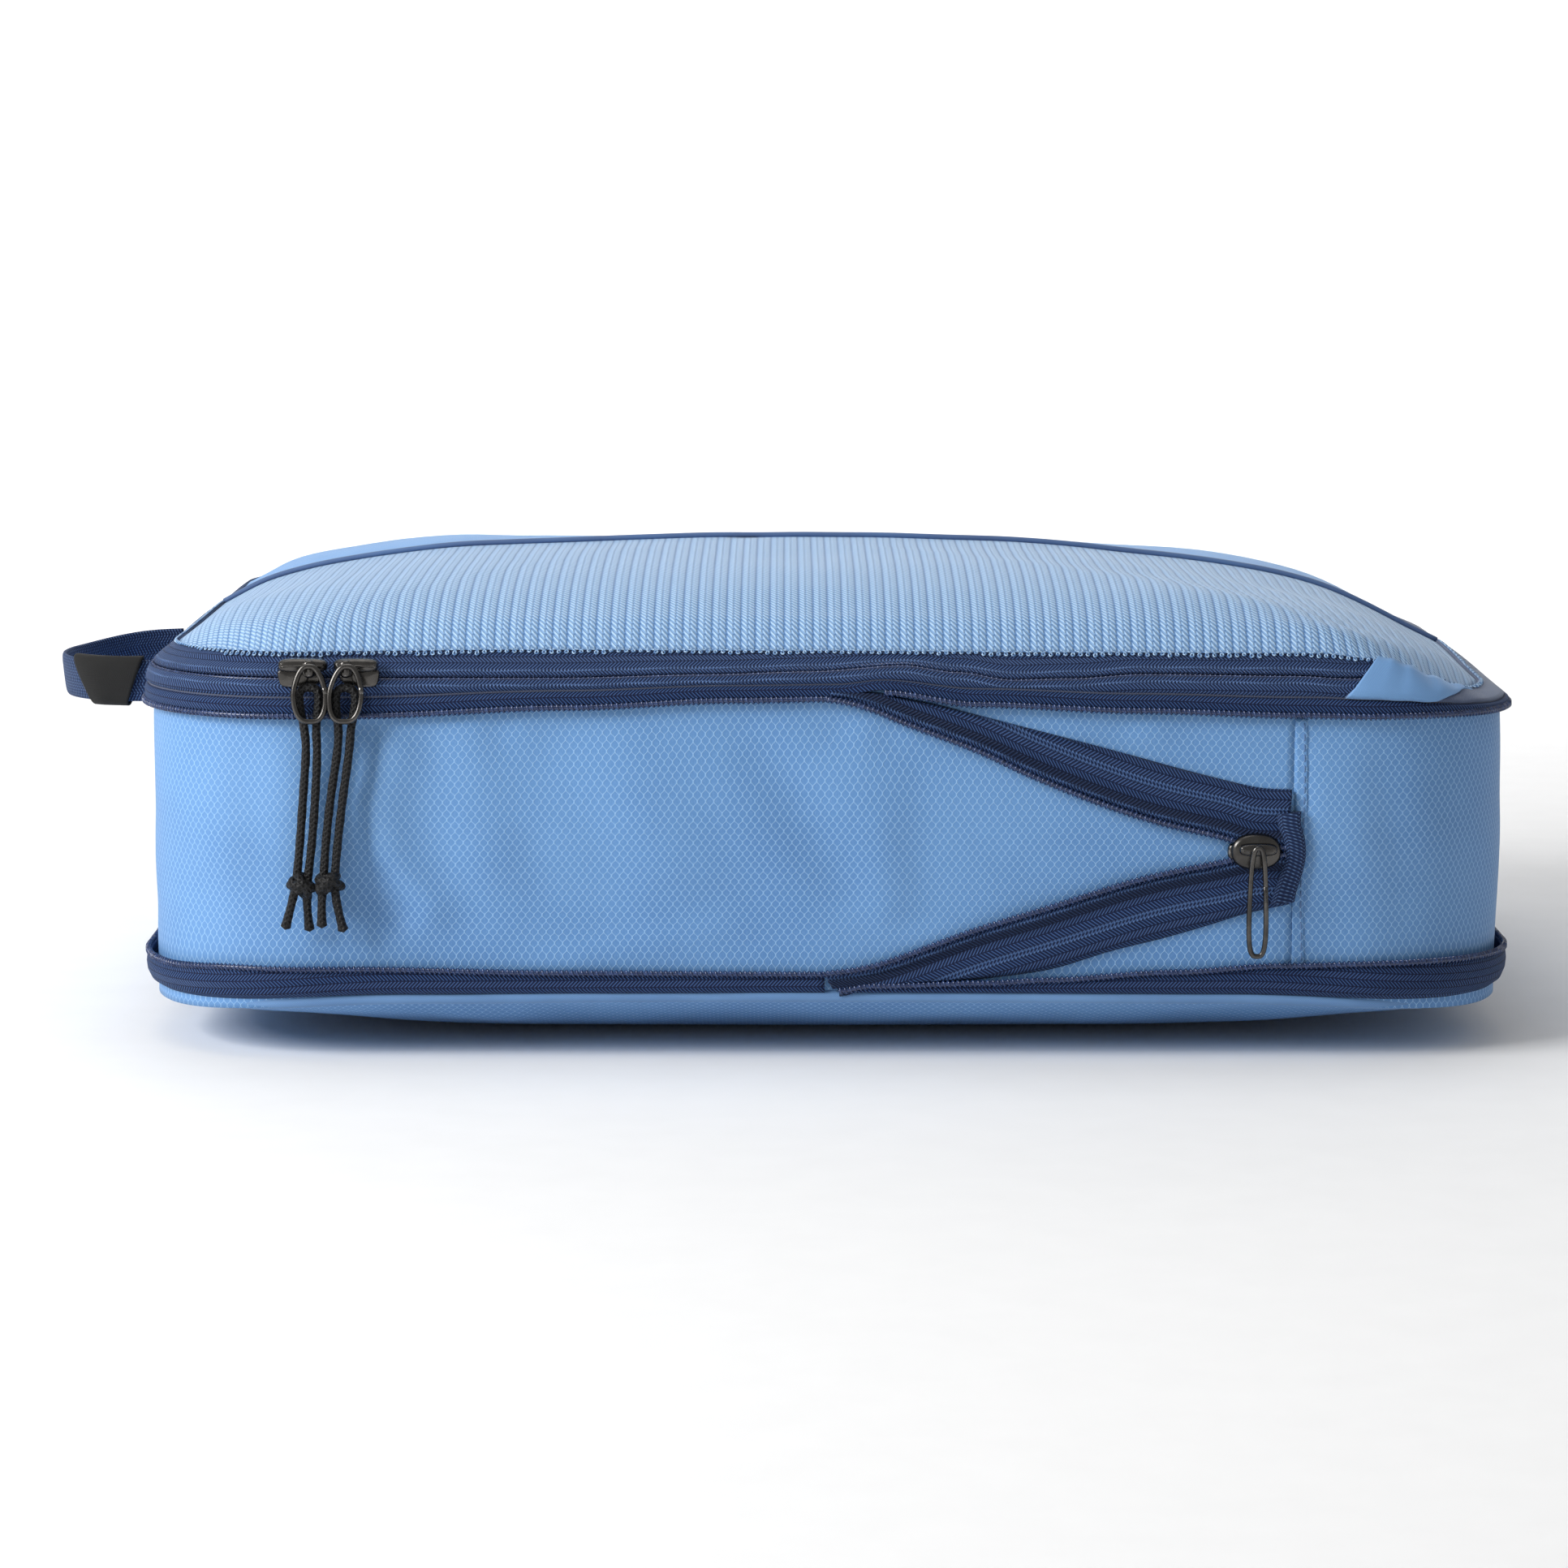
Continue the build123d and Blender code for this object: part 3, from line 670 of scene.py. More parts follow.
def wall_off(s, z):
    """How far the gusset stands out of the outline: belly, slack and folds."""
    t = np.clip((z - 22) / 66.0, 0, 1)
    hang = np.sin(np.pi * t)
    belly = 0.9 * hang * (0.6 + 0.4 * vnoise(s / 90.0, z * 0 + 0.5, 3))
    slack = 1.15 * vnoise(s / 33.0 + z / 60.0, z / 34.0, 11) + 0.5 * vnoise(s / 13.0 + z / 30.0, z / 20.0, 12)
    o = belly + hang * slack
    xf = s - S_FRONT
    for x0, z0, x1, z1, w, h in ((-94, 84, -84, 52, 9, 1.0), (-20, 84, 6, 44, 8, -1.0), (-52, 80, -40, 42, 11, 0.8),
                                 (30, 66, 58, 40, 6, -0.7), (-150, 84, -146, 44, 7, -1.0), (141, 82, 150, 34, 7, -0.9), (-70, 26, -30, 33, 4, 0.5)):
        dx, dz = x1 - x0, z1 - z0
        L = math.hypot(dx, dz)
        a = ((xf - x0) * dx + (z - z0) * dz) / L
        d = ((xf - x0) * dz - (z - z0) * dx) / L
        o = o + h * np.exp(-(d / w) ** 2) * smooth((a + 14) / 22) * smooth((L + 14 - a) / 22)
    for line, w, h in ((((-119.5, 84), (-123.0, 68), (-121.0, 52), (-111.0, 38)), 4.6, -2.6), (((-110.0, 80), (-113.5, 66), (-111.5, 52), (-102.0, 40)), 6.0, 1.4)):
        dist = np.full(np.broadcast(xf, z).shape, 1e3)
        for (ax, az), (bx, bz) in zip(line[:-1], line[1:]):
            ux, uz = bx - ax, bz - az
            tt = np.clip(((xf - ax) * ux + (z - az) * uz) / (ux * ux + uz * uz), 0, 1)
            dist = np.minimum(dist, np.hypot(xf - ax - ux * tt, z - az - uz * tt))
        o = o + h * np.exp(-(dist / w) ** 2)
    # short drawn creases under the top seam
    o = o + 0.42 * np.sin(xf / 4.3 + 2.2 * vnoise(xf / 23.0, 0 * z, 21)) * np.exp(-((88 - z) / 9.0) ** 2) * (0.5 + 0.5 * vnoise(xf / 40.0, 0 * z + 3, 22))
    return o * smooth((z - 18) / 7) * smooth((91 - z) / 5)


drop = by_s([(0, 0.0), (SEG[1] - 25, 0.1), (SEG[2] - 20, 0.9), (S_LEFT, 1.0), (SEG[3] + 22, 0.9), (SEG[4] + 25, 0.1), (S_FRONT, 0.0),
             (SEG[5] - 30, 0.1), (SEG[6] - 20, 0.9), (S_RIGHT, 1.0), (SEG[7] + 20, 0.9), (SEG[8] + 25, 0.1)])


def wall(name, s0, s1):
    n = int((s1 - s0) / 2.2)
    s = np.linspace(s0, s1, n)
    z = np.linspace(18.2, 90.6, 40)
    S, Z = np.meshgrid(s, z, indexing="ij")
    Z = Z - 5.4 * drop(S) * smooth((34.0 - Z) / 14.0) - 2.2 * smooth((30.0 - Z) / 11.0)
    Z = Z + (np.maximum(z_lip(S) + 2.6, 90.6) - 90.6) * smooth((Z - 60) / 30.0)
    x, y, nx, ny = ring(S)
    o = wall_off(S, Z)
    o = np.clip(o, -3.0, 1.9)
    # seam with the next panel, and the pull of the open zip's tapes, held flat
    xf = S - S_FRONT
    held = smooth((xf - 12) / 14) * smooth((126 - xf) / 6) * smooth((Z - 30) / 8) * smooth((86 - Z) / 6)
    o = o * (1 - 0.75 * held) - 0.35 * held
    pts = np.stack([x + nx * o, y + ny * o, Z], 2)
    ob = sheet_grid(name, pts, s, z, "ripstop")
    solid(ob, 1.0)
    return ob


S_SEAM_F, S_SEAM_B = S_FRONT + 119.0, PER - 119.0
wall_long = wall("gusset_long_cloth", S_SEAM_B - PER, S_SEAM_F)
wall_end = wall("gusset_hinge_end_cloth", S_SEAM_F, S_SEAM_B)


# ------------------------------------------------------------------ bottom
def polar(name, centre, rim, zfun, ks, mat, s0, s1, step, planar=True, flip=False, close=True, uvfun=None):
    n = int((s1 - s0) / step)
    s = np.linspace(s0, s1, n + 1)
    if close:
        s = s[:-1]
    rx, ry = rim(s)
    K = np.asarray(ks)
    X = centre[0] + K[None, :] * (rx[:, None] - centre[0])
    Y = centre[1] + K[None, :] * (ry[:, None] - centre[1])
    Z = zfun(s[:, None], K[None, :], X, Y)
    pts = np.stack([X, Y, Z], 2)
    if uvfun is None:
        U, V = X, Y
    else:
        U, V = uvfun(X, Y, Z, s[:, None], K[None, :])
    U = np.vstack([U, U[:1]])
    V = np.vstack([V, V[:1]])
    f, i, j = grid_faces(len(s), len(K), close, False)
    i2 = i + 1
    c = np.stack([np.stack([U[i, j], V[i, j]], 1), np.stack([U[i2, j], V[i2, j]], 1),
                  np.stack([U[i2, j + 1], V[i2, j + 1]], 1), np.stack([U[i, j + 1], V[i, j + 1]], 1)], 1)
    if flip:
        f, c = f[:, ::-1], c[:, ::-1]
    ob = build(name, pts.reshape(-1, 3), f, c.reshape(-1, 2), mat)
    bm = bmesh.new()
    bm.from_mesh(ob.data)
    bmesh.ops.remove_doubles(bm, verts=bm.verts, dist=1e-6)
    bm.to_mesh(ob.data)
    bm.free()
    return ob


def rim_at(off):
    def f(s):
        x, y, nx, ny = ring(s)
        return x + nx * off, y + ny * off
    return f


def rim_bottom(s):
    x, y, nx, ny = ring(s)
    off = -0.7 - 2.1 * drop(s)
    return x + nx * off, y + ny * off


def bottom_z(s, K, X, Y):
    d = drop(s)
    z = (15.3 - 4.2 * d) * np.clip((K - 0.5 + 0.03 * d) / (0.5 + 0.03 * d), 0, 1) ** (2.3 - 0.95 * d)
    w = vnoise(X / 31.0, Y / 27.0, 31) * 0.8 + vnoise(s / 26.0 + 0 * K, K * 5.0 + 0 * s, 32) * 0.9
    return np.maximum(z + w * smooth((K - 0.72) / 0.2) * smooth((1.0 - K) / 0.08), 0.0)


ks_b = np.concatenate([[0.004], np.linspace(0.1, 0.55, 7), np.linspace(0.6, 1.0, 26)])
bottom = polar("bottom_cloth", (0.0, 0.0), rim_bottom, bottom_z, ks_b, "ripstop", 0, PER, 4.0)
solid(bottom, 1.0, -1.0)

s_all = np.linspace(0, PER, 421)[:-1]


def round_edge(name, s, off_c, z_c, ro, rz, n, mat):
    a = np.arange(n) / n * 2 * math.pi
    off = off_c[:, None] + ro * np.cos(a)[None, :]
    z = z_c[:, None] + rz * np.sin(a)[None, :]
    seg = np.full(n + 1, 2 * math.pi * (ro + rz) / 2 / n) * np.arange(n + 1)
    return closed_band(name, s, off, z, seg, mat, True)


# the bottom edge roll takes the darker plain cloth copy, painted shade near the floor
edge = round_edge("bottom_edge_roll", s_all, -0.1 - 1.9 * drop(s_all) + 0.15 * vnoise(s_all / 22.0, s_all * 0, 41), 16.5 - 4.2 * drop(s_all) + 0.15 * vnoise(s_all / 31.0, s_all * 0 + 2, 42), 1.35, 1.55, 10, "pipe")

# ------------------------------------------------------------------ compression zip, lower tape and teeth
sl = np.linspace(S_FRONT + 3.0, S_FRONT + PER - 0.8, 560)
zt = z_low(sl) - 1.5
wv = 0.18 * vnoise(sl / 17.0, 0 * sl, 51)
dr = drop(sl)
zb = 17.7 - 4.0 * dr
outer = np.stack([np.stack([1.15 - 1.5 * dr + wv, zb], 1), np.stack([1.75 + 0.1 * dr + wv, zb + 0.16 * (zt - zb)], 1),
                  np.stack([1.9 + 1.0 * dr + wv, zb + 0.42 * (zt - zb)], 1), np.stack([1.85 + 1.3 * dr + wv, zb + 0.66 * (zt - zb)], 1),
                  np.stack([1.75 + 1.2 * dr + wv, zb + 0.86 * (zt - zb)], 1), np.stack([1.45 + 1.0 * dr + wv, zt + 0.5], 1)], 1)
o_, z_, v_ = strip_profile(outer, 0.9)
low_tape = closed_band("compression_zip_lower_tape_cloth", sl, o_, z_, v_, "tape")


def chain_path(s, off, z):
    x, y, nx, ny = ring(s)
    off = np.broadcast_to(off, s.shape)
    line = np.stack([x + nx * off, y + ny * off, z], 1)
    up = np.stack([-0.25 * nx, -0.25 * ny, 0 * x + 0.97], 1)
    out = np.stack([nx * 0.97, ny * 0.97, 0 * x + 0.25], 1)
    return line, up, out


sc = np.linspace(S_FRONT + 3.0, S_FRONT + PER - 1.2, 1120)
low_coil = coil("compression_zip_lower_teeth", *chain_path(sc, 1.75 + 1.0 * drop(sc), z_low(sc) - 1.0))
sc = np.linspace(S_FRONT + 22.0, S_FRONT + PER + 3.0, 1120)


# ------------------------------------------------------------------ upper lip and main zip band


lip_out = by_s([(0, 1.75), (SEG[1], 2.1), (S_LEFT, 2.3), (SEG[3], 2.3), (SEG[4], 1.9), (S_FRONT, 1.75), (SEG[5], 1.9), (SEG[6], 2.4), (SEG[7], 2.4), (SEG[8], 1.9)])


def band_line(s, t):
    """off, z of the band's face: t 0 at the lip, 1 at the lid's seam."""
    z0 = z_lip(s) + 1.7
    z1 = z_rim(s) + 0.6
    z = z0 + (z1 - z0) * t
    ln = lean(s)
    low = lip_out(s)
    body = np.minimum(low, 2.0)
    face = body + 0.3 - (ln + body + 0.3) * np.clip((t - 0.15) / 0.85, 0, 1) ** full(s)
    off = face + (low - body - 0.3) * smooth((0.24 - t) / 0.1) - 1.0 * np.exp(-((t - 0.262) / 0.045) ** 2)
    return off, z


full = by_s([(0, 1.5), (SEG[1], 1.8), (S_LEFT, 2.5), (SEG[3], 2.5), (SEG[4], 1.7), (S_FRONT, 1.5), (SEG[5], 1.5), (S_RIGHT, 1.4)])


def band_piece(name, s, t0, t1, n, mat, thick=0.9, ring_closed=False, v_from="low", lift=0.0):
    rows = []
    for k in range(n):
        f = k / (n - 1)
        t = t0 + (t1 - t0) * f
        off, z = band_line(s, t)
        rows.append(np.stack([off + lift, z], 1))
    outer = np.stack(rows, 1)
    o, z, v = strip_profile(outer, thick)
    if v_from == "high":
        v = v[:, n - 1:n] - v
    return closed_band(name, s, o, z, v, mat, ring_closed)


def t_of_z(s, z):
    z0 = z_lip(s) + 1.7
    return (z - z0) / (z_rim(s) + 0.6 - z0)


se = np.linspace(0, PER, 561)[:-1]
up_tape = band_piece("compression_zip_upper_tape_cloth", se, 0.0, 0.262, 10, "tape", ring_closed=True)
sr = np.linspace(0, PER, 561)[:-1]
to, tz = band_line(sr, 0.265)
# the rim roll is coloured with the darker navy copy, painted shade of its groove
binding = round_edge("upper_rim_roll", sr, to - 0.25, tz, 0.45, 0.6, 8, "navy_shaded")

S_END_F, S_END_B = S_FRONT + 146.0, PER - 146.0
sm = np.linspace(S_END_B - PER, S_END_F, 440)
tg = t_of_z(sm, z_groove(sm))
main_low = band_piece("main_zip_lower_tape_cloth", sm, 0.268, tg - 0.03, 12, "tape_main", v_from="high")
main_up = band_piece("main_zip_upper_tape_cloth", sm, tg + 0.03, 1.0, 9, "tape_main")


def groove_coil(name, dt):
    s = np.linspace(S_END_B - PER + 0.5, S_END_F - 0.5, 900)
    tt = t_of_z(s, z_groove(s)) + dt
    off, z = band_line(s, tt)
    return coil(name, *chain_path(s, off - 0.55, z), pitch=1.27, half=0.42, depth=0.3, wire=0.24, per_turn=5, sides=4)


main_low_coil = groove_coil("main_zip_lower_teeth", -0.034)
main_up_coil = groove_coil("main_zip_upper_teeth", 0.034)

sc = np.linspace(S_FRONT + 14.5, S_FRONT + PER + 0.5, 1120)
up_coil = coil("compression_zip_upper_teeth", *chain_path(sc, lip_out(sc) + 0.1, z_lip(sc) + 1.05))

# smooth strip round the hinge end, and the corner patches over the zip's ends
sh = np.linspace(S_FRONT + 134.0, PER - 134.0, 280)


def hinge_lo(s):
    return 0.25 + 0 * s


def hinge_hi(s):
    x = ring(s)[0]
    return 0.30 + 0.72 * smooth((x - 153) / 19.0)


strip_end = band_piece("hinge_end_strip_cloth", sh, hinge_lo(sh), hinge_hi(sh), 7, "navy", thick=1.0)


def patch(name, s0, s1, sgn):
    s = np.linspace(s0, s1, 70)
    x = ring(s)[0]
    lo = 0.27 + 0.60 * smooth((x - 151) / 19.0)
    hi = 1.0 + 0 * s
    rows = []
    n = 9
    for k in range(n):
        f = k / (n - 1)
        t = lo + (hi - lo) * f
        off, z = band_line(s, t)
        puff = 0.75 + 0.5 * np.sin(np.pi * f) + 0.35 * np.sin(x / 5.0 + 3 * f) * np.sin(np.pi * f)
        rows.append(np.stack([off + puff * smooth((172.5 - x) / 10), z], 1))
    outer = np.stack(rows, 1)
    o, z, v = strip_profile(outer, 0.8)
    # the slanted edge over the zip's end
    loopf = np.concatenate([np.linspace(0, 1, n), np.linspace(1, 0, n)])
    slant = (loopf * 9.0)[None, :] * np.exp(-np.abs(x - x.min()) / 16.0)[:, None]
    ob = closed_band(name, s, o, z, v, "plain", False, np.stack([slant, slant * 0, slant * 0], 2))
    return ob




def patch_stitches(ob):
    """Dashes of thread beside the patch's slanted edge, read from its own mesh: its first row of points is that edge."""
    n = 18
    co = np.array([v.co[:] for v in ob.data.vertices]) / MM
    rows = co.reshape(-1, n, 3)
    x = ring(np.array([S_FRONT + 131.5]))[0]
    first = rows[0] if abs(rows[0, 0, 0] - x[0]) < 3 else rows[-1]
    step = rows[3] if first is rows[0] else rows[-4]
    edge_line = first[:9] * 0.25 + step[:9] * 0.75
    side = np.array([0.0, -1.0 if edge_line[0, 1] < 0 else 1.0, 0.35])
    line, q = resample(edge_line + side * 0.25, 0.35)
    bits = [ob]
    k = 2
    while k + 4 < len(line):
        bits.append(tube("patch_stitch", line[k:k + 4], 0.24, 6, "pipe_navy"))
        k += 6
    return join_multi(bits)


patch_f = patch("corner_patch_front_cloth", S_FRONT + 131.5, SEG[6] - 24.0, 1)
patch_b = patch("corner_patch_back_cloth", SEG[7] + 24.0, PER - 131.5, -1)

# ------------------------------------------------------------------ lid
LC = (-20.0, 5.0)
RISE_L = ([0, .16, .32, .45, .568, .65, .748, .847, .911, 1.0], [1, .988, .955, .92, .872, .80, .683, .524, .37, 0])
RISE_R = ([0, .16, .33, .43, .539, .614, .691, .767, .842, .9, .956, 1.0], [1, .99, .962, .93, .865, .807, .732, .635, .497, .335, .145, 0])
RISE_F = ([0, .2, .35, .55, .7, .82, .9, .96, 1.0], [1, .985, .955, .89, .80, .68, .53, .34, 0])
RISE_B = ([0, .2, .4, .6, .75, .88, 1.0], [1, .80, .62, .45, .31, .17, 0])
TOP = 123.9


def curve_fn(tab):
    xs, ys = np.array(tab[0]), np.array(tab[1])
    xs2, ys2 = np.concatenate([-xs[::-1][:-1], xs]), np.concatenate([ys[::-1][:-1], ys])
    # smooth through the points
    m = np.gradient(ys2, xs2)

    def f(k):
        i = np.clip(np.searchsorted(xs2, k, side="right") - 1, 0, len(xs2) - 2)
        h = xs2[i + 1] - xs2[i]
        t = (k - xs2[i]) / h
        return ((2 * t ** 3 - 3 * t ** 2 + 1) * ys2[i] + (t ** 3 - 2 * t ** 2 + t) * h * m[i]
                + (-2 * t ** 3 + 3 * t ** 2) * ys2[i + 1] + (t ** 3 - t ** 2) * h * m[i + 1])
    return f


fL, fR, fF = curve_fn(RISE_L), curve_fn(RISE_R), curve_fn(RISE_F)
B_K, B_V = np.array(RISE_B[0]), np.array(RISE_B[1])


def lid_rim(s):
    x, y, nx, ny = ring(s)
    off = -lean(s)
    return x + nx * off, y + ny * off


def lid_z(s, K, X, Y):
    rx, ry = lid_rim(s)
    dx = (rx - LC[0]) / np.where(rx > LC[0], 193.0, 149.0)
    dy = (ry - LC[1]) / 112.0
    q = np.maximum(dx ** 4 + dy ** 4, 1e-9)
    wl, wr, wf = np.where(dx < 0, dx ** 4 / q, 0), np.where(dx >= 0, dx ** 4 / q, 0), dy ** 4 / q
    back = np.where(Y > LC[1], 1.0, 0.0)
    rise_y = (1 - back) * fF(K) + back * np.interp(K, B_K, B_V)
    rise = wl * fL(K) + wr * fR(K) + wf * rise_y
    zr = z_rim(s)
    z = zr + (TOP - zr) * rise
    slack = vnoise(X / 42.0, Y / 36.0, 61) * 0.55 + vnoise(X / 17.0, Y / 15.0, 62) * 0.16
    z = z + 1.5 * smooth((Y - 6) / 26.0) * smooth((88 - Y) / 46.0) * smooth((np.abs(X + 5) - 78) / 42.0) * smooth((1 - K) / 0.14)
    return z + slack * smooth((1 - K) / 0.12) * smooth(K / 0.1)


def lid_uv(X, Y, Z, s, K):
    d = (TOP - Z)
    sx = np.sign(X - LC[0]) * smooth(np.abs(X - LC[0]) / 60.0)
    sy = np.sign(Y - LC[1]) * smooth(np.abs(Y - LC[1]) / 60.0)
    _, _, nx, ny = ring(s)
    return X + 0.42 * d * sx * np.abs(nx), Y + 0.55 * d * sy * np.abs(ny)


ks_l = np.concatenate([[0.006], np.linspace(0.06, 0.6, 16), np.linspace(0.63, 0.9, 14), np.linspace(0.915, 1.0, 12)])


def s_where_y(y0, s_from, s_to):
    q = np.linspace(s_from, s_to, 4001)
    ry = lid_rim(q)[1]
    return q[np.argmin(np.abs(ry - y0))]


S_SL = s_where_y(LC[1], S_LEFT - 60, S_LEFT + 60)
S_SR = s_where_y(LC[1], S_RIGHT - 60, S_RIGHT + 60)


def lid_half(name, s0, s1, mat):
    n = int((s1 - s0) / 2.6)
    s = np.linspace(s0, s1, n + 1)
    rx, ry = lid_rim(s)
    K = ks_l
    X = LC[0] + K[None, :] * (rx[:, None] - LC[0])
    Y = LC[1] + K[None, :] * (ry[:, None] - LC[1])
    Z = lid_z(s[:, None], K[None, :], X, Y)
    U, V = lid_uv(X, Y, Z, s[:, None], K[None, :])
    pts = np.stack([X, Y, Z], 2)
    f, i, j = grid_faces(n + 1, len(K), False, False)
    i2 = i + 1
    c = np.stack([np.stack([U[i, j], V[i, j]], 1), np.stack([U[i2, j], V[i2, j]], 1),
                  np.stack([U[i2, j + 1], V[i2, j + 1]], 1), np.stack([U[i, j + 1], V[i, j + 1]], 1)], 1)
    ob = build(name, pts.reshape(-1, 3), f[:, ::-1], c[:, ::-1].reshape(-1, 2), mat)
    up = sum(p.normal.z for p in ob.data.polygons)
    if up < 0:
        ob.data.flip_normals()
    solid(ob, 0.9)
    return ob


lid_mesh = lid_half("lid_mesh_cloth", S_SL, S_SR, "mesh")


def fringe(s0, s1):
    n = int((s1 - s0) / 0.22)
    q = np.linspace(s0, s1, n)
    ph = 2 * math.pi * (q - s0) / 1.9
    wob = vnoise(q / 3.1, 0 * q, 91)
    sq = q + 0.85 * np.sin(ph)
    fx = ring(q)[0]
    t = 1.0 - (0.045 + 0.02 * wob) * (1 - np.cos(ph)) * 0.75 * (0.3 + 0.7 * smooth((fx + 172) / 14.0))
    off, z = band_line(sq, t)
    x, y, nx, ny = ring(sq)
    off = off + 0.45
    return tube("fringe", np.stack([x + nx * off, y + ny * off, z + 0.15], 1), 0.24, 4, "mesh")


join([lid_mesh, fringe(S_SL + 1, S_SR - 1)])
lid_solid = lid_half("lid_solid_cloth", S_SR, S_SL + PER, "plain")

# piping along the seam between the two
kk = np.linspace(0, 1, 60)
q1 = np.array([S_SL])
q2 = np.array([S_SR])


def seam_side(q):
    rx, ry = lid_rim(q)
    X = LC[0] + kk * (rx - LC[0])
    Y = LC[1] + kk * (ry - LC[1])
    return np.stack([X, Y, lid_z(q, kk, X, Y) + 0.55], 1)


a_, b_ = seam_side(q1), seam_side(q2)
seam_line, _ = resample(np.concatenate([a_[::-1][:-1], b_]), 2.0)
lid_pipe = tube("lid_seam_piping_cloth", seam_line, 0.85, 8, "pipe_navy")

patch_parts = (patch_f, patch_b)

# ------------------------------------------------------------------ the open compression zip's two free strips
UP_CHAIN = [(0.0, 93.7), (6.0, 92.6), (12.5, 90.6), (19.5, 87.6), (37.8, 80.6), (52.0, 74.0), (68.9, 67.2), (84.0, 62.2), (100.0, 58.4), (108.0, 55.9), (117.4, 55.4)]
UP_BACK = [(1.0, 95.6), (12.0, 95.2), (20.0, 93.6), (28.0, 92.0), (45.0, 87.6), (58.5, 84.1), (74.0, 80.0), (89.6, 75.7), (104.0, 72.0), (111.0, 70.6), (118.4, 70.2)]
LOW_CHAIN = [(-1.0, 22.6), (8.0, 23.8), (17.2, 26.3), (36.9, 33.6), (56.4, 39.7), (76.2, 46.0), (88.0, 49.0), (100.0, 51.4), (108.0, 53.2), (117.4, 53.6)]
LOW_BACK = [(1.5, 18.4), (17.2, 19.4), (40.0, 21.2), (57.0, 23.6), (72.2, 28.2), (85.9, 31.7), (97.0, 34.9), (107.5, 38.2), (118.4, 40.6)]


def smooth_line(points, n):
    """n points of a smooth curve through the points, equally spaced along it."""
    p = np.asarray(points, float)
    m = np.gradient(p, axis=0)
    out = []
    for k in range(len(p) - 1):
        t = np.linspace(0, 1, 24, endpoint=False)[:, None]
        out.append((2 * t ** 3 - 3 * t ** 2 + 1) * p[k] + (t ** 3 - 2 * t ** 2 + t) * m[k]
                   + (-2 * t ** 3 + 3 * t ** 2) * p[k + 1] + (t ** 3 - t ** 2) * m[k + 1])
    q = np.concatenate(out + [p[-1:]])
    ln = np.concatenate([[0], np.cumsum(np.linalg.norm(np.diff(q, axis=0), axis=1))])
    g = np.linspace(0, ln[-1], n)
    return np.stack([np.interp(g, ln, q[:, c]) for c in range(q.shape[1])], 1), g


def zip_strip(name, chain, back, seed, sgn):
    n, m = 150, 12
    c, gu = smooth_line(chain, n)
    b, _ = smooth_line(back, n)
    f = np.linspace(0, 1, m)
    P = c[:, None] * (1 - f)[None, :, None] + b[:, None] * f[None, :, None]
    wide = np.linalg.norm(b - c, axis=1)
    # the tape's woven edge, the gutter beside the teeth and a soft roll of the free edge
    a = gu[:, None]
    out = 1.15 + 0.55 * np.exp(-((f - 0.16) / 0.12) ** 2)[None, :] - 0.75 * np.exp(-((f - 0.34) / 0.10) ** 2)[None, :] + 0.3 * np.exp(-((f - 0.9) / 0.09) ** 2)[None, :]
    out = out + 0.45 * np.sin(np.pi * f)[None, :] + 0.25 * vnoise(a / 19.0 + seed, f[None, :] * 2.0 + 0 * a, 70 + seed)
    out = out * smooth((1.02 - f) / 0.12)[None, :] + 0.35
    pts = np.stack([P[..., 0], -HW - out, P[..., 1]], 2)
    v = f[None, :] * wide[:, None]
    ob = sheet_grid(name, pts, gu, v, "tape_strip")
    nrm = np.mean([p.normal.y for p in ob.data.polygons])
    if nrm > 0:
        ob.data.flip_normals()
    solid(ob, 0.8)
    line = np.stack([c[:, 0], np.full(n, -HW - 2.05), c[:, 1]], 1)
    d = (b - c) / np.maximum(wide[:, None], 1e-6)
    upv = np.stack([-d[:, 0], 0 * d[:, 0], -d[:, 1]], 1)
    outv = np.repeat([[0.0, -1.0, 0.0]], n, 0)
    teeth = coil(name + "_teeth", line, upv, outv, half=0.78, depth=0.55)
    # tangent along the teeth; the thin rolled edge that the photograph shows along the outside of the teeth is not
    # built
    t = np.gradient(c, axis=0)
    t /= np.linalg.norm(t, axis=1, keepdims=True)
    return ob, teeth


up_strip, up_strip_teeth = zip_strip("compression_upper_strip_cloth", UP_CHAIN, UP_BACK, 1, 1)
low_strip, low_strip_teeth = zip_strip("compression_lower_strip_cloth", LOW_CHAIN, LOW_BACK, 2, -1)

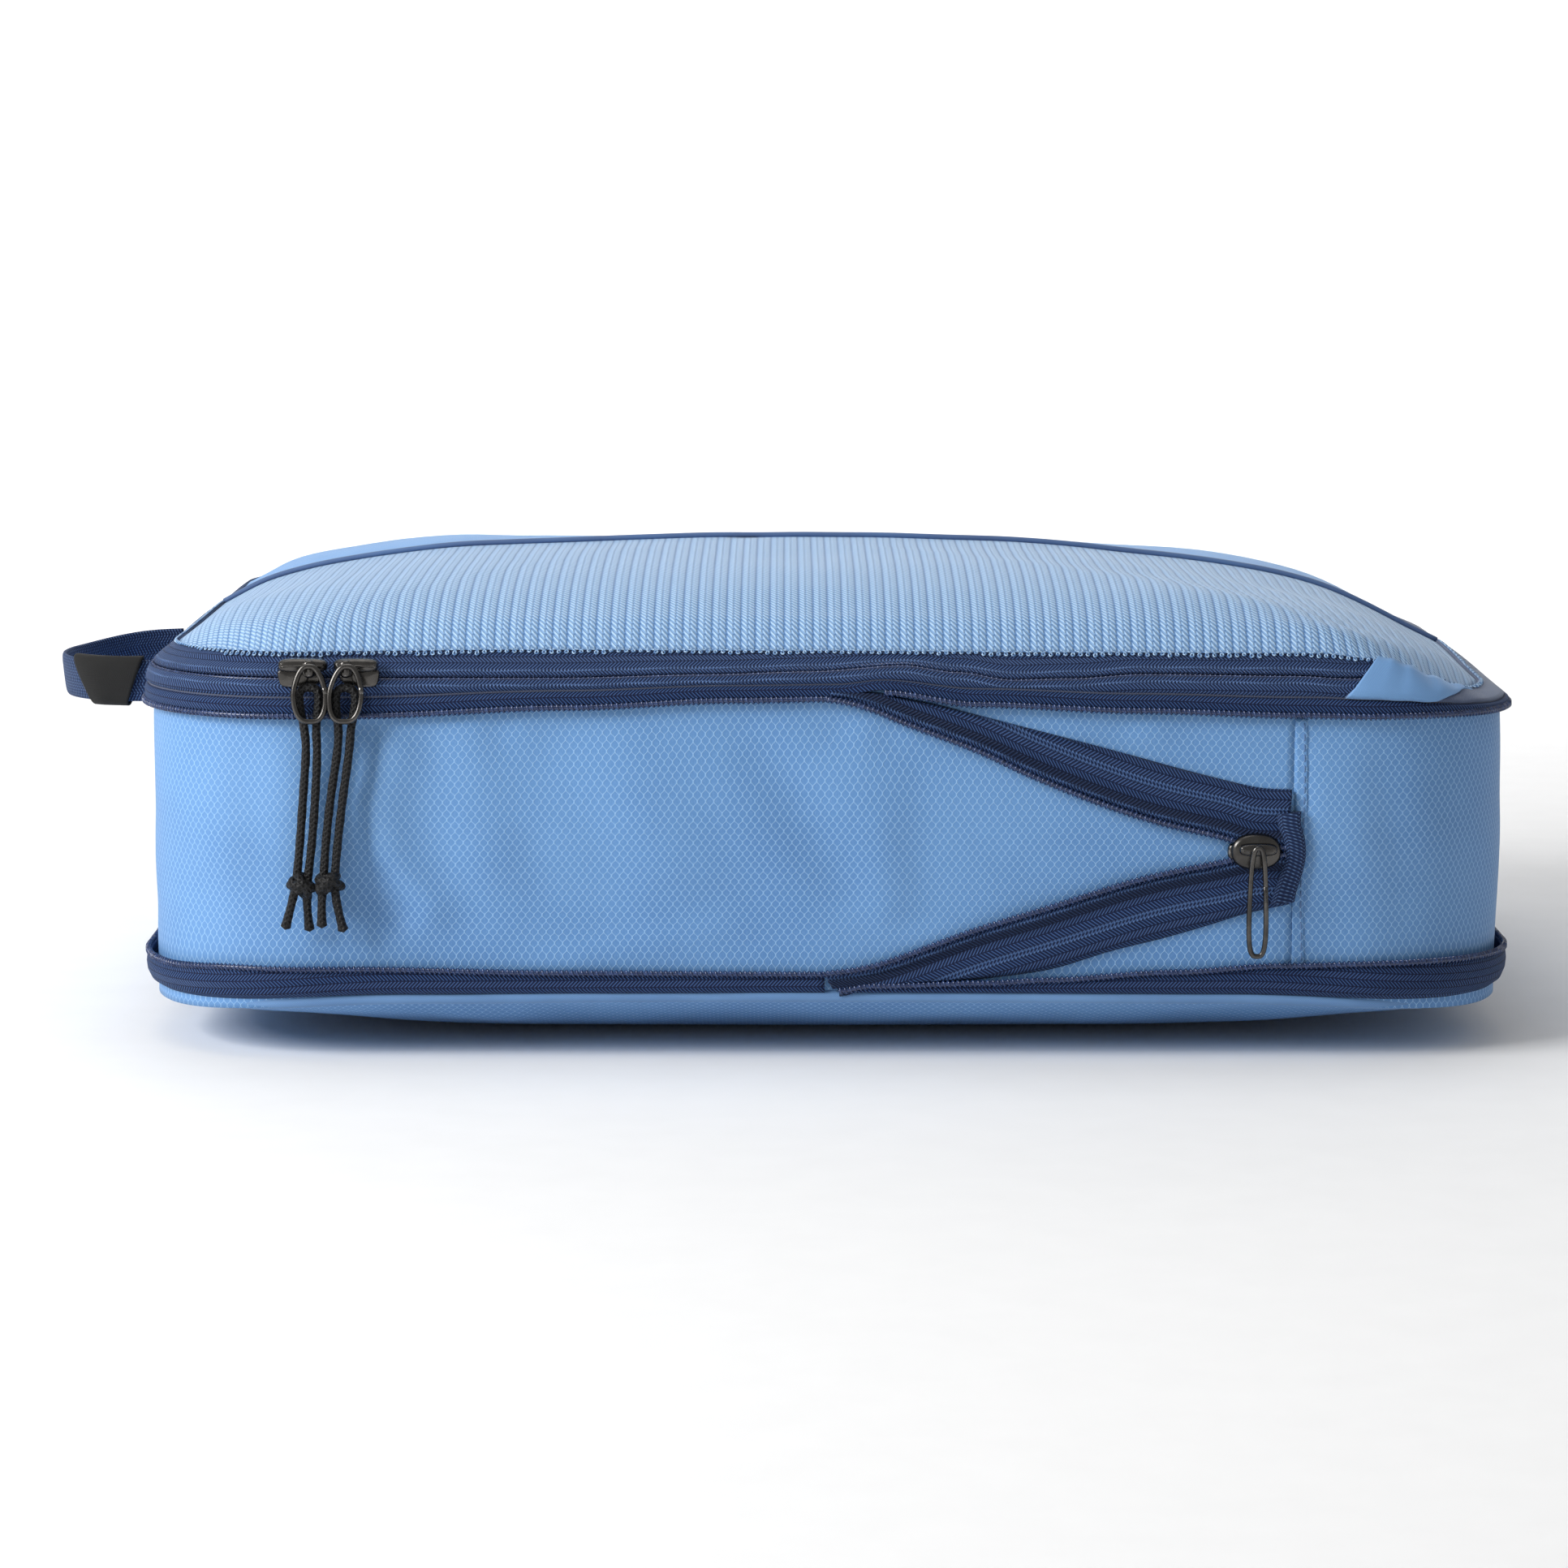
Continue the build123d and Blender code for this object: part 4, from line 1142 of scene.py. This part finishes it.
# ------------------------------------------------------------------ grosgrain tab over the zip's end
def tab_piece():
    zz = np.linspace(64.4, 41.2, 44)
    f = (64.4 - zz) / (64.4 - 41.2)
    bend = 1.7 * np.sin((f - 0.1) * 4.6) * smooth(f / 0.3)
    wid = 6.2 - 0.8 * np.sin(np.pi * f)
    na = 16
    a = np.arange(na) / na * 2 * math.pi
    ex = np.sign(np.cos(a)) * np.abs(np.cos(a)) ** 0.55
    ey = np.sign(np.sin(a)) * np.abs(np.sin(a)) ** 0.8
    x = (117.7 + bend)[:, None] + 0.5 * wid[:, None] * ex[None, :]
    y = -HW - 1.75 - (0.4 * np.sin(f * 7.0))[:, None] + 1.35 * ey[None, :]
    z = np.repeat(zz[:, None], na, 1) + 0.35 * ex[None, :] * np.cos(f * 6.0)[:, None]
    pts = np.stack([x, y, z], 2)
    fc, i, j = grid_faces(len(zz), na, False, True)
    u = zz[0] - zz
    vv = np.arange(na + 1) / na * 15.0
    c = np.stack([np.stack([u[i], vv[j]], 1), np.stack([u[i + 1], vv[j]], 1), np.stack([u[i + 1], vv[j + 1]], 1), np.stack([u[i], vv[j + 1]], 1)], 1)
    faces = [tuple(q) for q in fc] + [tuple(range(na))[::-1], tuple(range((len(zz) - 1) * na, len(zz) * na))]
    uvs = c.reshape(-1, 2).tolist() + [[0, 0]] * (2 * na)
    ob = build("slider_garage_tab_cloth", pts.reshape(-1, 3), faces, uvs, "web")
    fix_normals(ob)
    return ob


garage = tab_piece()

# ------------------------------------------------------------------ seams of the gusset with their stitches
def seam_piece(name, s_mid, sgn):
    zz = np.linspace(24.0, 88.5, 60)
    f = np.linspace(-1, 1, 7)
    S = s_mid + sgn * (0.2 + 3.0 * (f[None, :] + 1) / 2) + 0.25 * np.sin(zz / 9.0)[:, None]
    Z = np.repeat(zz[:, None], 7, 1)
    x, y, nx, ny = ring(S)
    o = np.clip(wall_off(S, Z), -3.0, 1.9)
    xf = S - S_FRONT
    held = smooth((xf - 12) / 14) * smooth((126 - xf) / 6) * smooth((Z - 30) / 8) * smooth((86 - Z) / 6)
    o = o * (1 - 0.75 * held) - 0.35 * held + 0.06 + 0.10 * np.sqrt(np.clip(1 - f ** 2, 0, 1))[None, :] + 0.06 * np.sin(zz / 1.3)[:, None] * (np.abs(f) > 0.6)[None, :]
    pts = np.stack([x + nx * o, y + ny * o, Z], 2)
    ob = sheet_grid(name, pts, S, Z, "ripstop")
    solid(ob, 0.15)
    nrm = ob
    bits = [ob]
    # running stitches
    zc = np.arange(26.0, 87.0, 2.7)
    for k, z0 in enumerate(zc):
        zl = np.linspace(z0, z0 + 1.75, 5)
        ss = s_mid + sgn * 2.4 + 0.25 * np.sin(zl / 9.0)
        xs, ys, nx, ny = ring(ss)
        oo = np.clip(wall_off(ss, zl), -3.0, 1.9)
        xf = ss - S_FRONT
        held = smooth((xf - 12) / 14) * smooth((126 - xf) / 6) * smooth((zl - 30) / 8) * smooth((86 - zl) / 6)
        oo = oo * (1 - 0.75 * held) - 0.35 * held + 0.2 + 0.22 * np.sin(np.linspace(0, math.pi, 5))
        bits.append(tube(name + "_st", np.stack([xs + nx * oo, ys + ny * oo, zl], 1), 0.22, 5, "thread"))
    join_multi(bits)
    return ob


def join_multi(obs):
    """Joins meshes of different materials into the first one."""
    names = []
    bm = bmesh.new()
    for o in obs:
        m = o.data.materials[0]
        if m.name not in names:
            names.append(m.name)
        k = names.index(m.name)
        before = len(bm.faces)
        bm.from_mesh(o.data)
        bm.faces.ensure_lookup_table()
        for q in range(before, len(bm.faces)):
            bm.faces[q].material_index = k
    me = obs[0].data
    me.materials.clear()
    for m in names:
        me.materials.append(bpy.data.materials[m])
    bm.to_mesh(me)
    bm.free()
    for o in obs[1:]:
        d = o.data
        bpy.data.objects.remove(o)
        bpy.data.meshes.remove(d)
    return obs[0]


patch_f, patch_b = (patch_stitches(o) for o in patch_parts)
seam_f = seam_piece("gusset_seam_front_cloth", S_SEAM_F, 1)
seam_b = seam_piece("gusset_seam_back_cloth", S_SEAM_B, -1)

# ------------------------------------------------------------------ grab handle and its label
def loop_line(n, a0=0.0, a1=math.pi):
    a = np.linspace(a0, a1, n)
    x = -182.0 - 28.1 * np.sin(a)
    y = -15.0 - 32.1 * np.cos(a)
    z = 89.4 + 2.2 * smooth((a - 1.9) / 1.0) - 0.8 * np.sin(a)
    return np.stack([x, y, z], 1), a


def ribbon(name, line, ups, outs, half, thick, mat, bulge=0.0):
    """A strap along a line, rounded at its edges."""
    na = 20
    a = np.arange(na) / na * 2 * math.pi
    eu = np.sign(np.sin(a)) * np.abs(np.sin(a)) ** 0.45
    eo = np.sign(np.cos(a)) * np.abs(np.cos(a)) ** 0.75
    h = np.broadcast_to(np.asarray(half, float), (len(line),))
    pts = line[:, None] + ups[:, None] * (h[:, None] * eu[None, :])[..., None] + outs[:, None] * (thick / 2 * eo[None, :] + bulge * (1 - eu ** 2)[None, :])[..., None]
    ln = np.concatenate([[0], np.cumsum(np.linalg.norm(np.diff(line, axis=0), axis=1))])
    f, i, j = grid_faces(len(line), na, False, True)
    vs = np.concatenate([[0], np.cumsum(np.hypot(np.diff(np.append(eu, eu[0])) * h.mean(), np.diff(np.append(eo, eo[0])) * thick / 2))])
    c = np.stack([np.stack([ln[i], vs[j]], 1), np.stack([ln[i + 1], vs[j]], 1), np.stack([ln[i + 1], vs[j + 1]], 1), np.stack([ln[i], vs[j + 1]], 1)], 1)
    faces = [tuple(q) for q in f] + [tuple(range(na))[::-1], tuple(range((len(line) - 1) * na, len(line) * na))]
    ob = build(name, pts.reshape(-1, 3), faces, c.reshape(-1, 2).tolist() + [[0, 0]] * (2 * na), mat)
    fix_normals(ob)
    return ob


hl, ha = loop_line(90)
ht = np.gradient(hl, axis=0)
ht /= np.linalg.norm(ht, axis=1, keepdims=True)
tilt = -0.10 + 0.42 * smooth((ha - 1.7) / 1.2)          # the far leg turns its face upwards
hout = np.cross(ht, [0.0, 0.0, 1.0])
hout /= np.linalg.norm(hout, axis=1, keepdims=True)
hout = np.where((hout[:, :1] * -1.0 + 0 * hout) > -9, hout, hout)
cen = np.array([-182.0, -15.0, 89.0])
sg = np.sign(((hl - cen) * hout).sum(1))[:, None]
sg[sg == 0] = 1
hout = hout * sg
hup = np.repeat([[0.0, 0.0, 1.0]], len(hl), 0)
hup2 = hup * np.cos(tilt)[:, None] - hout * np.sin(tilt)[:, None]
hout2 = hout * np.cos(tilt)[:, None] + hup * np.sin(tilt)[:, None]
handle = ribbon("grab_handle_cloth", hl, hup2, hout2, 5.7, 1.7, "web")


def label_piece():
    ln = np.concatenate([[0], np.cumsum(np.linalg.norm(np.diff(hl, axis=0), axis=1))])
    near = hl[:, 1] < -18
    q0 = np.interp(186.8, -hl[near, 0], ln[near])
    q1 = np.interp(201.6, -hl[near, 0], ln[near])
    n, na = 26, 28
    q = np.linspace(q0, q1, n)
    a = np.arange(na) / na * 2 * math.pi
    eu = np.sign(np.sin(a)) * np.abs(np.sin(a)) ** 0.5
    eo = np.sign(np.cos(a)) * np.abs(np.cos(a)) ** 0.7
    at = q[:, None] + eu[None, :] * np.linspace(-2.4, 3.6, n)[:, None]

    def take(arr):
        return np.stack([np.interp(at, ln, arr[:, k]) for k in range(3)], 2)
    P, U, O = take(hl), take(hup2), take(hout2)
    wave = 0.18 * np.sin(q / 2.1)[:, None] + 0 * at
    pts = P + U * (6.35 * eu)[None, :, None] + O * ((1.55 + wave) * eo[None, :])[..., None]
    f, i, j = grid_faces(n, na, False, True)
    vs = np.arange(na + 1) / na * 30.0
    c = np.stack([np.stack([q[i], vs[j]], 1), np.stack([q[i + 1], vs[j]], 1), np.stack([q[i + 1], vs[j + 1]], 1), np.stack([q[i], vs[j + 1]], 1)], 1)
    ob = build("handle_label_cloth", pts.reshape(-1, 3), f, c.reshape(-1, 2), "label")
    fix_normals(ob)
    solid(ob, 0.5, 1.0)
    return ob


label = label_piece()

# ------------------------------------------------------------------ cords and their knots
def cord_piece(name, pts):
    line = nurbs_line(pts, name + "_line") / MM
    line, _ = resample(line, 0.45)
    ln = np.concatenate([[0], np.cumsum(np.linalg.norm(np.diff(line, axis=0), axis=1))])
    r = CORD_D / 2 * (1 + 0.035 * np.sin(ln / 1.1) + 0.02 * np.sin(ln / 0.37))
    # frayed ends open a little
    r = r * (1 + 0.22 * np.exp(-ln / 1.2) + 0.22 * np.exp(-(ln[-1] - ln) / 1.2))
    ob = tube(name, line, r, 14, "cord")
    return ob, ln[-1], line


cord_l, len_l, line_l = cord_piece("pull_cord_left_braid", CORD_LEFT)
cord_r, len_r, line_r = cord_piece("pull_cord_right_braid", CORD_RIGHT)


def knot(name, c, turn):
    """An overhand knot of the two strands: wraps round a short core."""
    c = np.asarray(c, float)
    parts = []
    for k, (rr, hh, ph, wob, tip) in enumerate(((2.65, 2.1, 0.0, 0.5, 0.0), (2.45, -1.9, 2.1, -0.5, 0.5), (1.9, 0.6, 4.0, 0.3, -0.9))):
        a = np.linspace(0, 2 * math.pi * 1.3, 48)
        line = np.stack([rr * np.cos(a + ph), 0.8 * rr * np.sin(a + ph), hh * (a / a[-1] - 0.5) * 1.9 + wob * np.sin(a * 1.5)], 1)
        w = turn + tip
        q = np.array([[math.cos(w), 0, math.sin(w)], [0, 1, 0], [-math.sin(w), 0, math.cos(w)]])
        parts.append(tube(name if k == 0 else name + "_b", line @ q.T + c, 1.2, 12, "cord"))
    return join(parts)


knot_l = knot("cord_knot_left_braid", (-134.1, -127.9, 46.0), 0.5)
knot_r = knot("cord_knot_right_braid", (-127.2, -128.4, 46.8), -0.4)

# ------------------------------------------------------------------ hard pieces keep their CAD shape
def rounded(cx, cz, w, h, e=3.0, n=40, taper=0.0):
    a = np.arange(n) / n * 2 * math.pi
    x = np.sign(np.cos(a)) * np.abs(np.cos(a)) ** (2 / e)
    z = np.sign(np.sin(a)) * np.abs(np.sin(a)) ** (2 / e)
    return np.stack([cx + w / 2 * x * (1 + taper * z), cz + h / 2 * z], 1)


def pebble(name, outline, y0, y1, r, crown=0.0):
    """A cast piece: an outline in x and z, standing from y0 out to y1, with its front edge rounded and its face crowned."""
    c = outline.mean(0)
    t = np.roll(outline, -1, 0) - np.roll(outline, 1, 0)
    t /= np.maximum(np.linalg.norm(t, axis=1, keepdims=True), 1e-9)
    nrm = np.stack([t[:, 1], -t[:, 0]], 1)
    if ((outline - c) * nrm).sum() < 0:
        nrm = -nrm
    rows = [(0.25, y0), (0.0, y0 - 0.25), (0.0, y1 + r)]
    for th in np.linspace(0, math.pi / 2, 6)[1:]:
        rows.append((r * (1 - math.cos(th)), y1 + r - r * math.sin(th)))
    V = []
    for ins, y in rows:
        q = outline - nrm * ins
        V.append(np.stack([q[:, 0], np.full(len(q), y), q[:, 1]], 1))
    base = outline - nrm * r
    for k in (0.75, 0.5, 0.25):
        q = c + (base - c) * k
        V.append(np.stack([q[:, 0], np.full(len(q), y1 - crown * (1 - k * k)), q[:, 1]], 1))
    n = len(outline)
    pts = np.concatenate(V)
    f, i, j = grid_faces(len(V), n, False, True)
    faces = [tuple(q) for q in f] + [tuple(range(n)), tuple(range((len(V) - 1) * n, len(V) * n))]
    nc = sum(len(q) for q in faces)
    ob = build(name, pts, faces, np.zeros((nc, 2)), "metal")
    fix_normals(ob)
    return ob


def wire_loop(name, pts, r):
    """Closed loop of round wire through points."""
    p = np.asarray(pts, float)
    p = np.vstack([p, p[:3]])
    return tube(name, p, r, 12, "metal")


def main_slider(name, cx, body_x, length, flange):
    hood = pebble(name, rounded(body_x, 102.2, length, 3.5, 3.6), -121.6, -125.5, 1.5, 0.25)
    fl = pebble(name + "_f", rounded(body_x + flange * length * 0.20, 98.9, length * 0.62, 4.6, 4.5, taper=0.12), -121.6, -123.7, 0.6, 0.2)
    low = pebble(name + "_g", rounded(body_x, 98.4, length * 0.72, 3.6, 3.0, taper=0.25), -120.9, -123.0, 0.6, 0.1)
    eye = pebble(name + "_e", rounded(cx, 101.5, 3.4, 4.6, 2.6), -123.0, -126.3, 1.1, 0.3)
    return join([hood, fl, low, eye])


def bail(name, cx, lean_x):
    t = np.linspace(0, 2 * math.pi, 72, endpoint=False)
    z = 95.4 + 6.9 * np.sign(np.sin(t)) * np.abs(np.sin(t)) ** 0.85
    x = cx + 4.05 * np.sign(np.cos(t)) * np.abs(np.cos(t)) ** 0.7 * (1 - 0.3 * np.clip(np.sin(t), 0, 1)) + lean_x * (95.4 - z) / 7.0
    y = -126.95 - 0.15 * (101.5 - z)
    return wire_loop(name, np.stack([x, y, z], 1), 0.74)


slider_l = main_slider("main_slider_left_cast", -131.7, -133.4, 12.4, -1)
slider_r = main_slider("main_slider_right_cast", -122.4, -119.9, 11.2, 1)
bail_l = bail("pull_bail_left_wire", -131.4, 0.2)
bail_r = bail("pull_bail_right_wire", -122.3, -0.4)
cs_body = pebble("compression_slider_cast", rounded(109.3, 54.5, 12.9, 9.4, 2.3), -122.6, -125.9, 1.7, 0.5)
cs_nose = pebble("compression_slider_nose", rounded(103.6, 54.3, 3.0, 4.4, 2.4), -122.6, -124.6, 0.9, 0.2)
cs_bridge = pebble("compression_slider_bridge", rounded(109.6, 55.3, 9.6, 3.3, 3.2), -125.4, -128.1, 1.2, 0.3)
comp_slider = join([cs_body, cs_nose, cs_bridge])
tt = np.linspace(0, 2 * math.pi, 90, endpoint=False)
pz = 42.0 + 14.0 * np.sign(np.sin(tt)) * np.abs(np.sin(tt)) ** 0.62
px = 109.5 + (2.05 - 0.028 * (pz - 42.0)) * np.sign(np.cos(tt)) * np.abs(np.cos(tt)) ** 0.62
comp_pull = wire_loop("compression_pull_wire", np.stack([px, -128.75 + 0.02 * (56.0 - pz), pz], 1), 0.68)

# ------------------------------------------------------------------ floor and light
def floor_piece():
    bm = bmesh.new()
    prof = []
    for k in range(40):
        t = k / 39.0
        if t < 0.55:
            prof.append((-1.6 + (t / 0.55) * 2.9, 0.0))
        else:
            a = (t - 0.55) / 0.45 * math.pi / 2
            prof.append((1.3 + 0.8 * math.sin(a), 0.8 - 0.8 * math.cos(a)))
    prof.append((2.1, 3.0))
    rows = []
    for y, z in prof:
        rows.append([bm.verts.new((x, y, z - 0.00005)) for x in (-3.2, -1.2, 1.2, 3.2)])
    for a, b in zip(rows[:-1], rows[1:]):
        for k in range(3):
            bm.faces.new((a[k], a[k + 1], b[k + 1], b[k]))
    me = bpy.data.meshes.new("floor")
    bm.to_mesh(me)
    bm.free()
    me.polygons.foreach_set("use_smooth", [True] * len(me.polygons))
    N = Nodes("floor_paper")
    n = N.noise(N.obj(), 60.0, 3.0)
    me.materials.append(N.done(N.mix(n, (0.86, 0.86, 0.86, 1), (0.90, 0.90, 0.90, 1)), 0.9, N.bump(n, 0.0004, 0.15), spec=0.1))
    ob = bpy.data.objects.new("floor", me)
    scene.collection.objects.link(ob)
    return ob


def lamp(name, at, to, size, power, color=(1, 1, 1)):
    li = bpy.data.lights.new(name, "AREA")
    li.shape = "RECTANGLE"
    li.size, li.size_y = size
    li.energy = power
    li.color = color
    ob = bpy.data.objects.new(name, li)
    ob.location = at
    ob.rotation_euler = (Vector(to) - Vector(at)).to_track_quat("-Z", "Y").to_euler()
    scene.collection.objects.link(ob)
    return ob


floor = floor_piece()
world = bpy.data.worlds.new("studio")
scene.world = world
world.use_nodes = True
world.node_tree.nodes["Background"].inputs[0].default_value = (1.0, 1.0, 1.0, 1)
world.node_tree.nodes["Background"].inputs[1].default_value = 0.36
key = lamp("key", (-1.25, -0.75, 0.85), (-0.02, -0.08, 0.06), (0.8, 0.7), 25.0)
top = lamp("top", (-0.2, 0.15, 1.5), (0, 0, 0.1), (1.2, 1.0), 6.0)
back = lamp("backdrop", (0.0, 0.9, 1.3), (0.0, 2.1, 0.55), (2.4, 0.5), 26.0)

# ------------------------------------------------------------------ what each piece stands for and rides on
def goes(ob, body, slot_name, *nodes):
    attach(ob, body)
    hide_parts(*nodes)


def sinks(ob):
    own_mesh(ob)


goes(bottom, "base", "ripstop", "bottom_panel")
goes(edge, "base", "plain_cloth", "bottom_edge_piping")
goes(low_tape, "base", "navy_tape", "compression_zip_lower_tape")
goes(low_coil, "base", "coil", "compression_zip_lower_coil")
goes(wall_long, "base", "ripstop", "gusset_long_panel")
goes(wall_end, "base", "ripstop", "gusset_hinge_end_panel")
goes(seam_f, "base", "plain_cloth", "gusset_seam_tape_front")
goes(seam_b, "base", "plain_cloth", "gusset_seam_tape_back")
goes(up_strip, "base", "navy_tape", "compression_zip_upper_strip")
goes(up_strip_teeth, "base", "coil", "compression_zip_upper_strip_coil")
goes(low_strip, "base", "navy_tape", "compression_zip_lower_strip")
goes(low_strip_teeth, "base", "coil", "compression_zip_lower_strip_coil")
goes(garage, "base", "webbing", "slider_garage_tab")
for o in (wall_long, wall_end, seam_f, seam_b, up_strip, up_strip_teeth, low_strip, low_strip_teeth, garage):
    sinks(o)

goes(up_tape, "upper_shell", "navy_tape", "compression_zip_upper_tape")
goes(up_coil, "upper_shell", "coil", "compression_zip_upper_coil")
goes(binding, "upper_shell", "navy_cloth", "upper_rim_binding")
goes(main_low, "upper_shell", "navy_tape", "main_zip_lower_tape")
goes(main_low_coil, "upper_shell", "coil", "main_zip_lower_coil")
goes(strip_end, "upper_shell", "navy_cloth", "hinge_end_strip")
goes(patch_f, "upper_shell", "plain_cloth", "corner_patch_front")
goes(patch_b, "upper_shell", "plain_cloth", "corner_patch_back")


def folds(ob, slot_name, start, end, *nodes):
    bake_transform(ob)
    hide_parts(*nodes)


folds(lid_mesh, "mesh", 0.150, 0.128, "lid_mesh_panel", "lid_mesh_hinge_end")
folds(lid_solid, "plain_cloth", 0.150, 0.128, "lid_solid_panel", "lid_solid_hinge_end")
folds(lid_pipe, "navy_cloth", 0.150, 0.128, "lid_seam_piping", "lid_seam_piping_hinge_end")
folds(main_up, "navy_tape", 0.134, 0.112, "main_zip_upper_tape")
folds(main_up_coil, "coil", 0.134, 0.112, "main_zip_upper_coil")

goes(slider_l, "slider_left", "gunmetal", "main_slider_left")
goes(slider_r, "slider_right", "gunmetal", "main_slider_right")
goes(bail_l, "pull_left", "gunmetal", "pull_bail_left")
goes(bail_r, "pull_right", "gunmetal", "pull_bail_right")
goes(comp_slider, "comp_slider", "gunmetal", "compression_slider")
goes(comp_pull, "comp_pull", "gunmetal", "compression_pull")
goes(handle, "handle", "webbing", "grab_handle")
goes(label, "handle", "label", "handle_label")
goes(cord_l, "pull_left", "cord", "pull_cord_left")
goes(knot_l, "pull_left", "cord", "cord_knot_left")
goes(cord_r, "pull_right", "cord", "pull_cord_right")
goes(knot_r, "pull_right", "cord", "cord_knot_right")
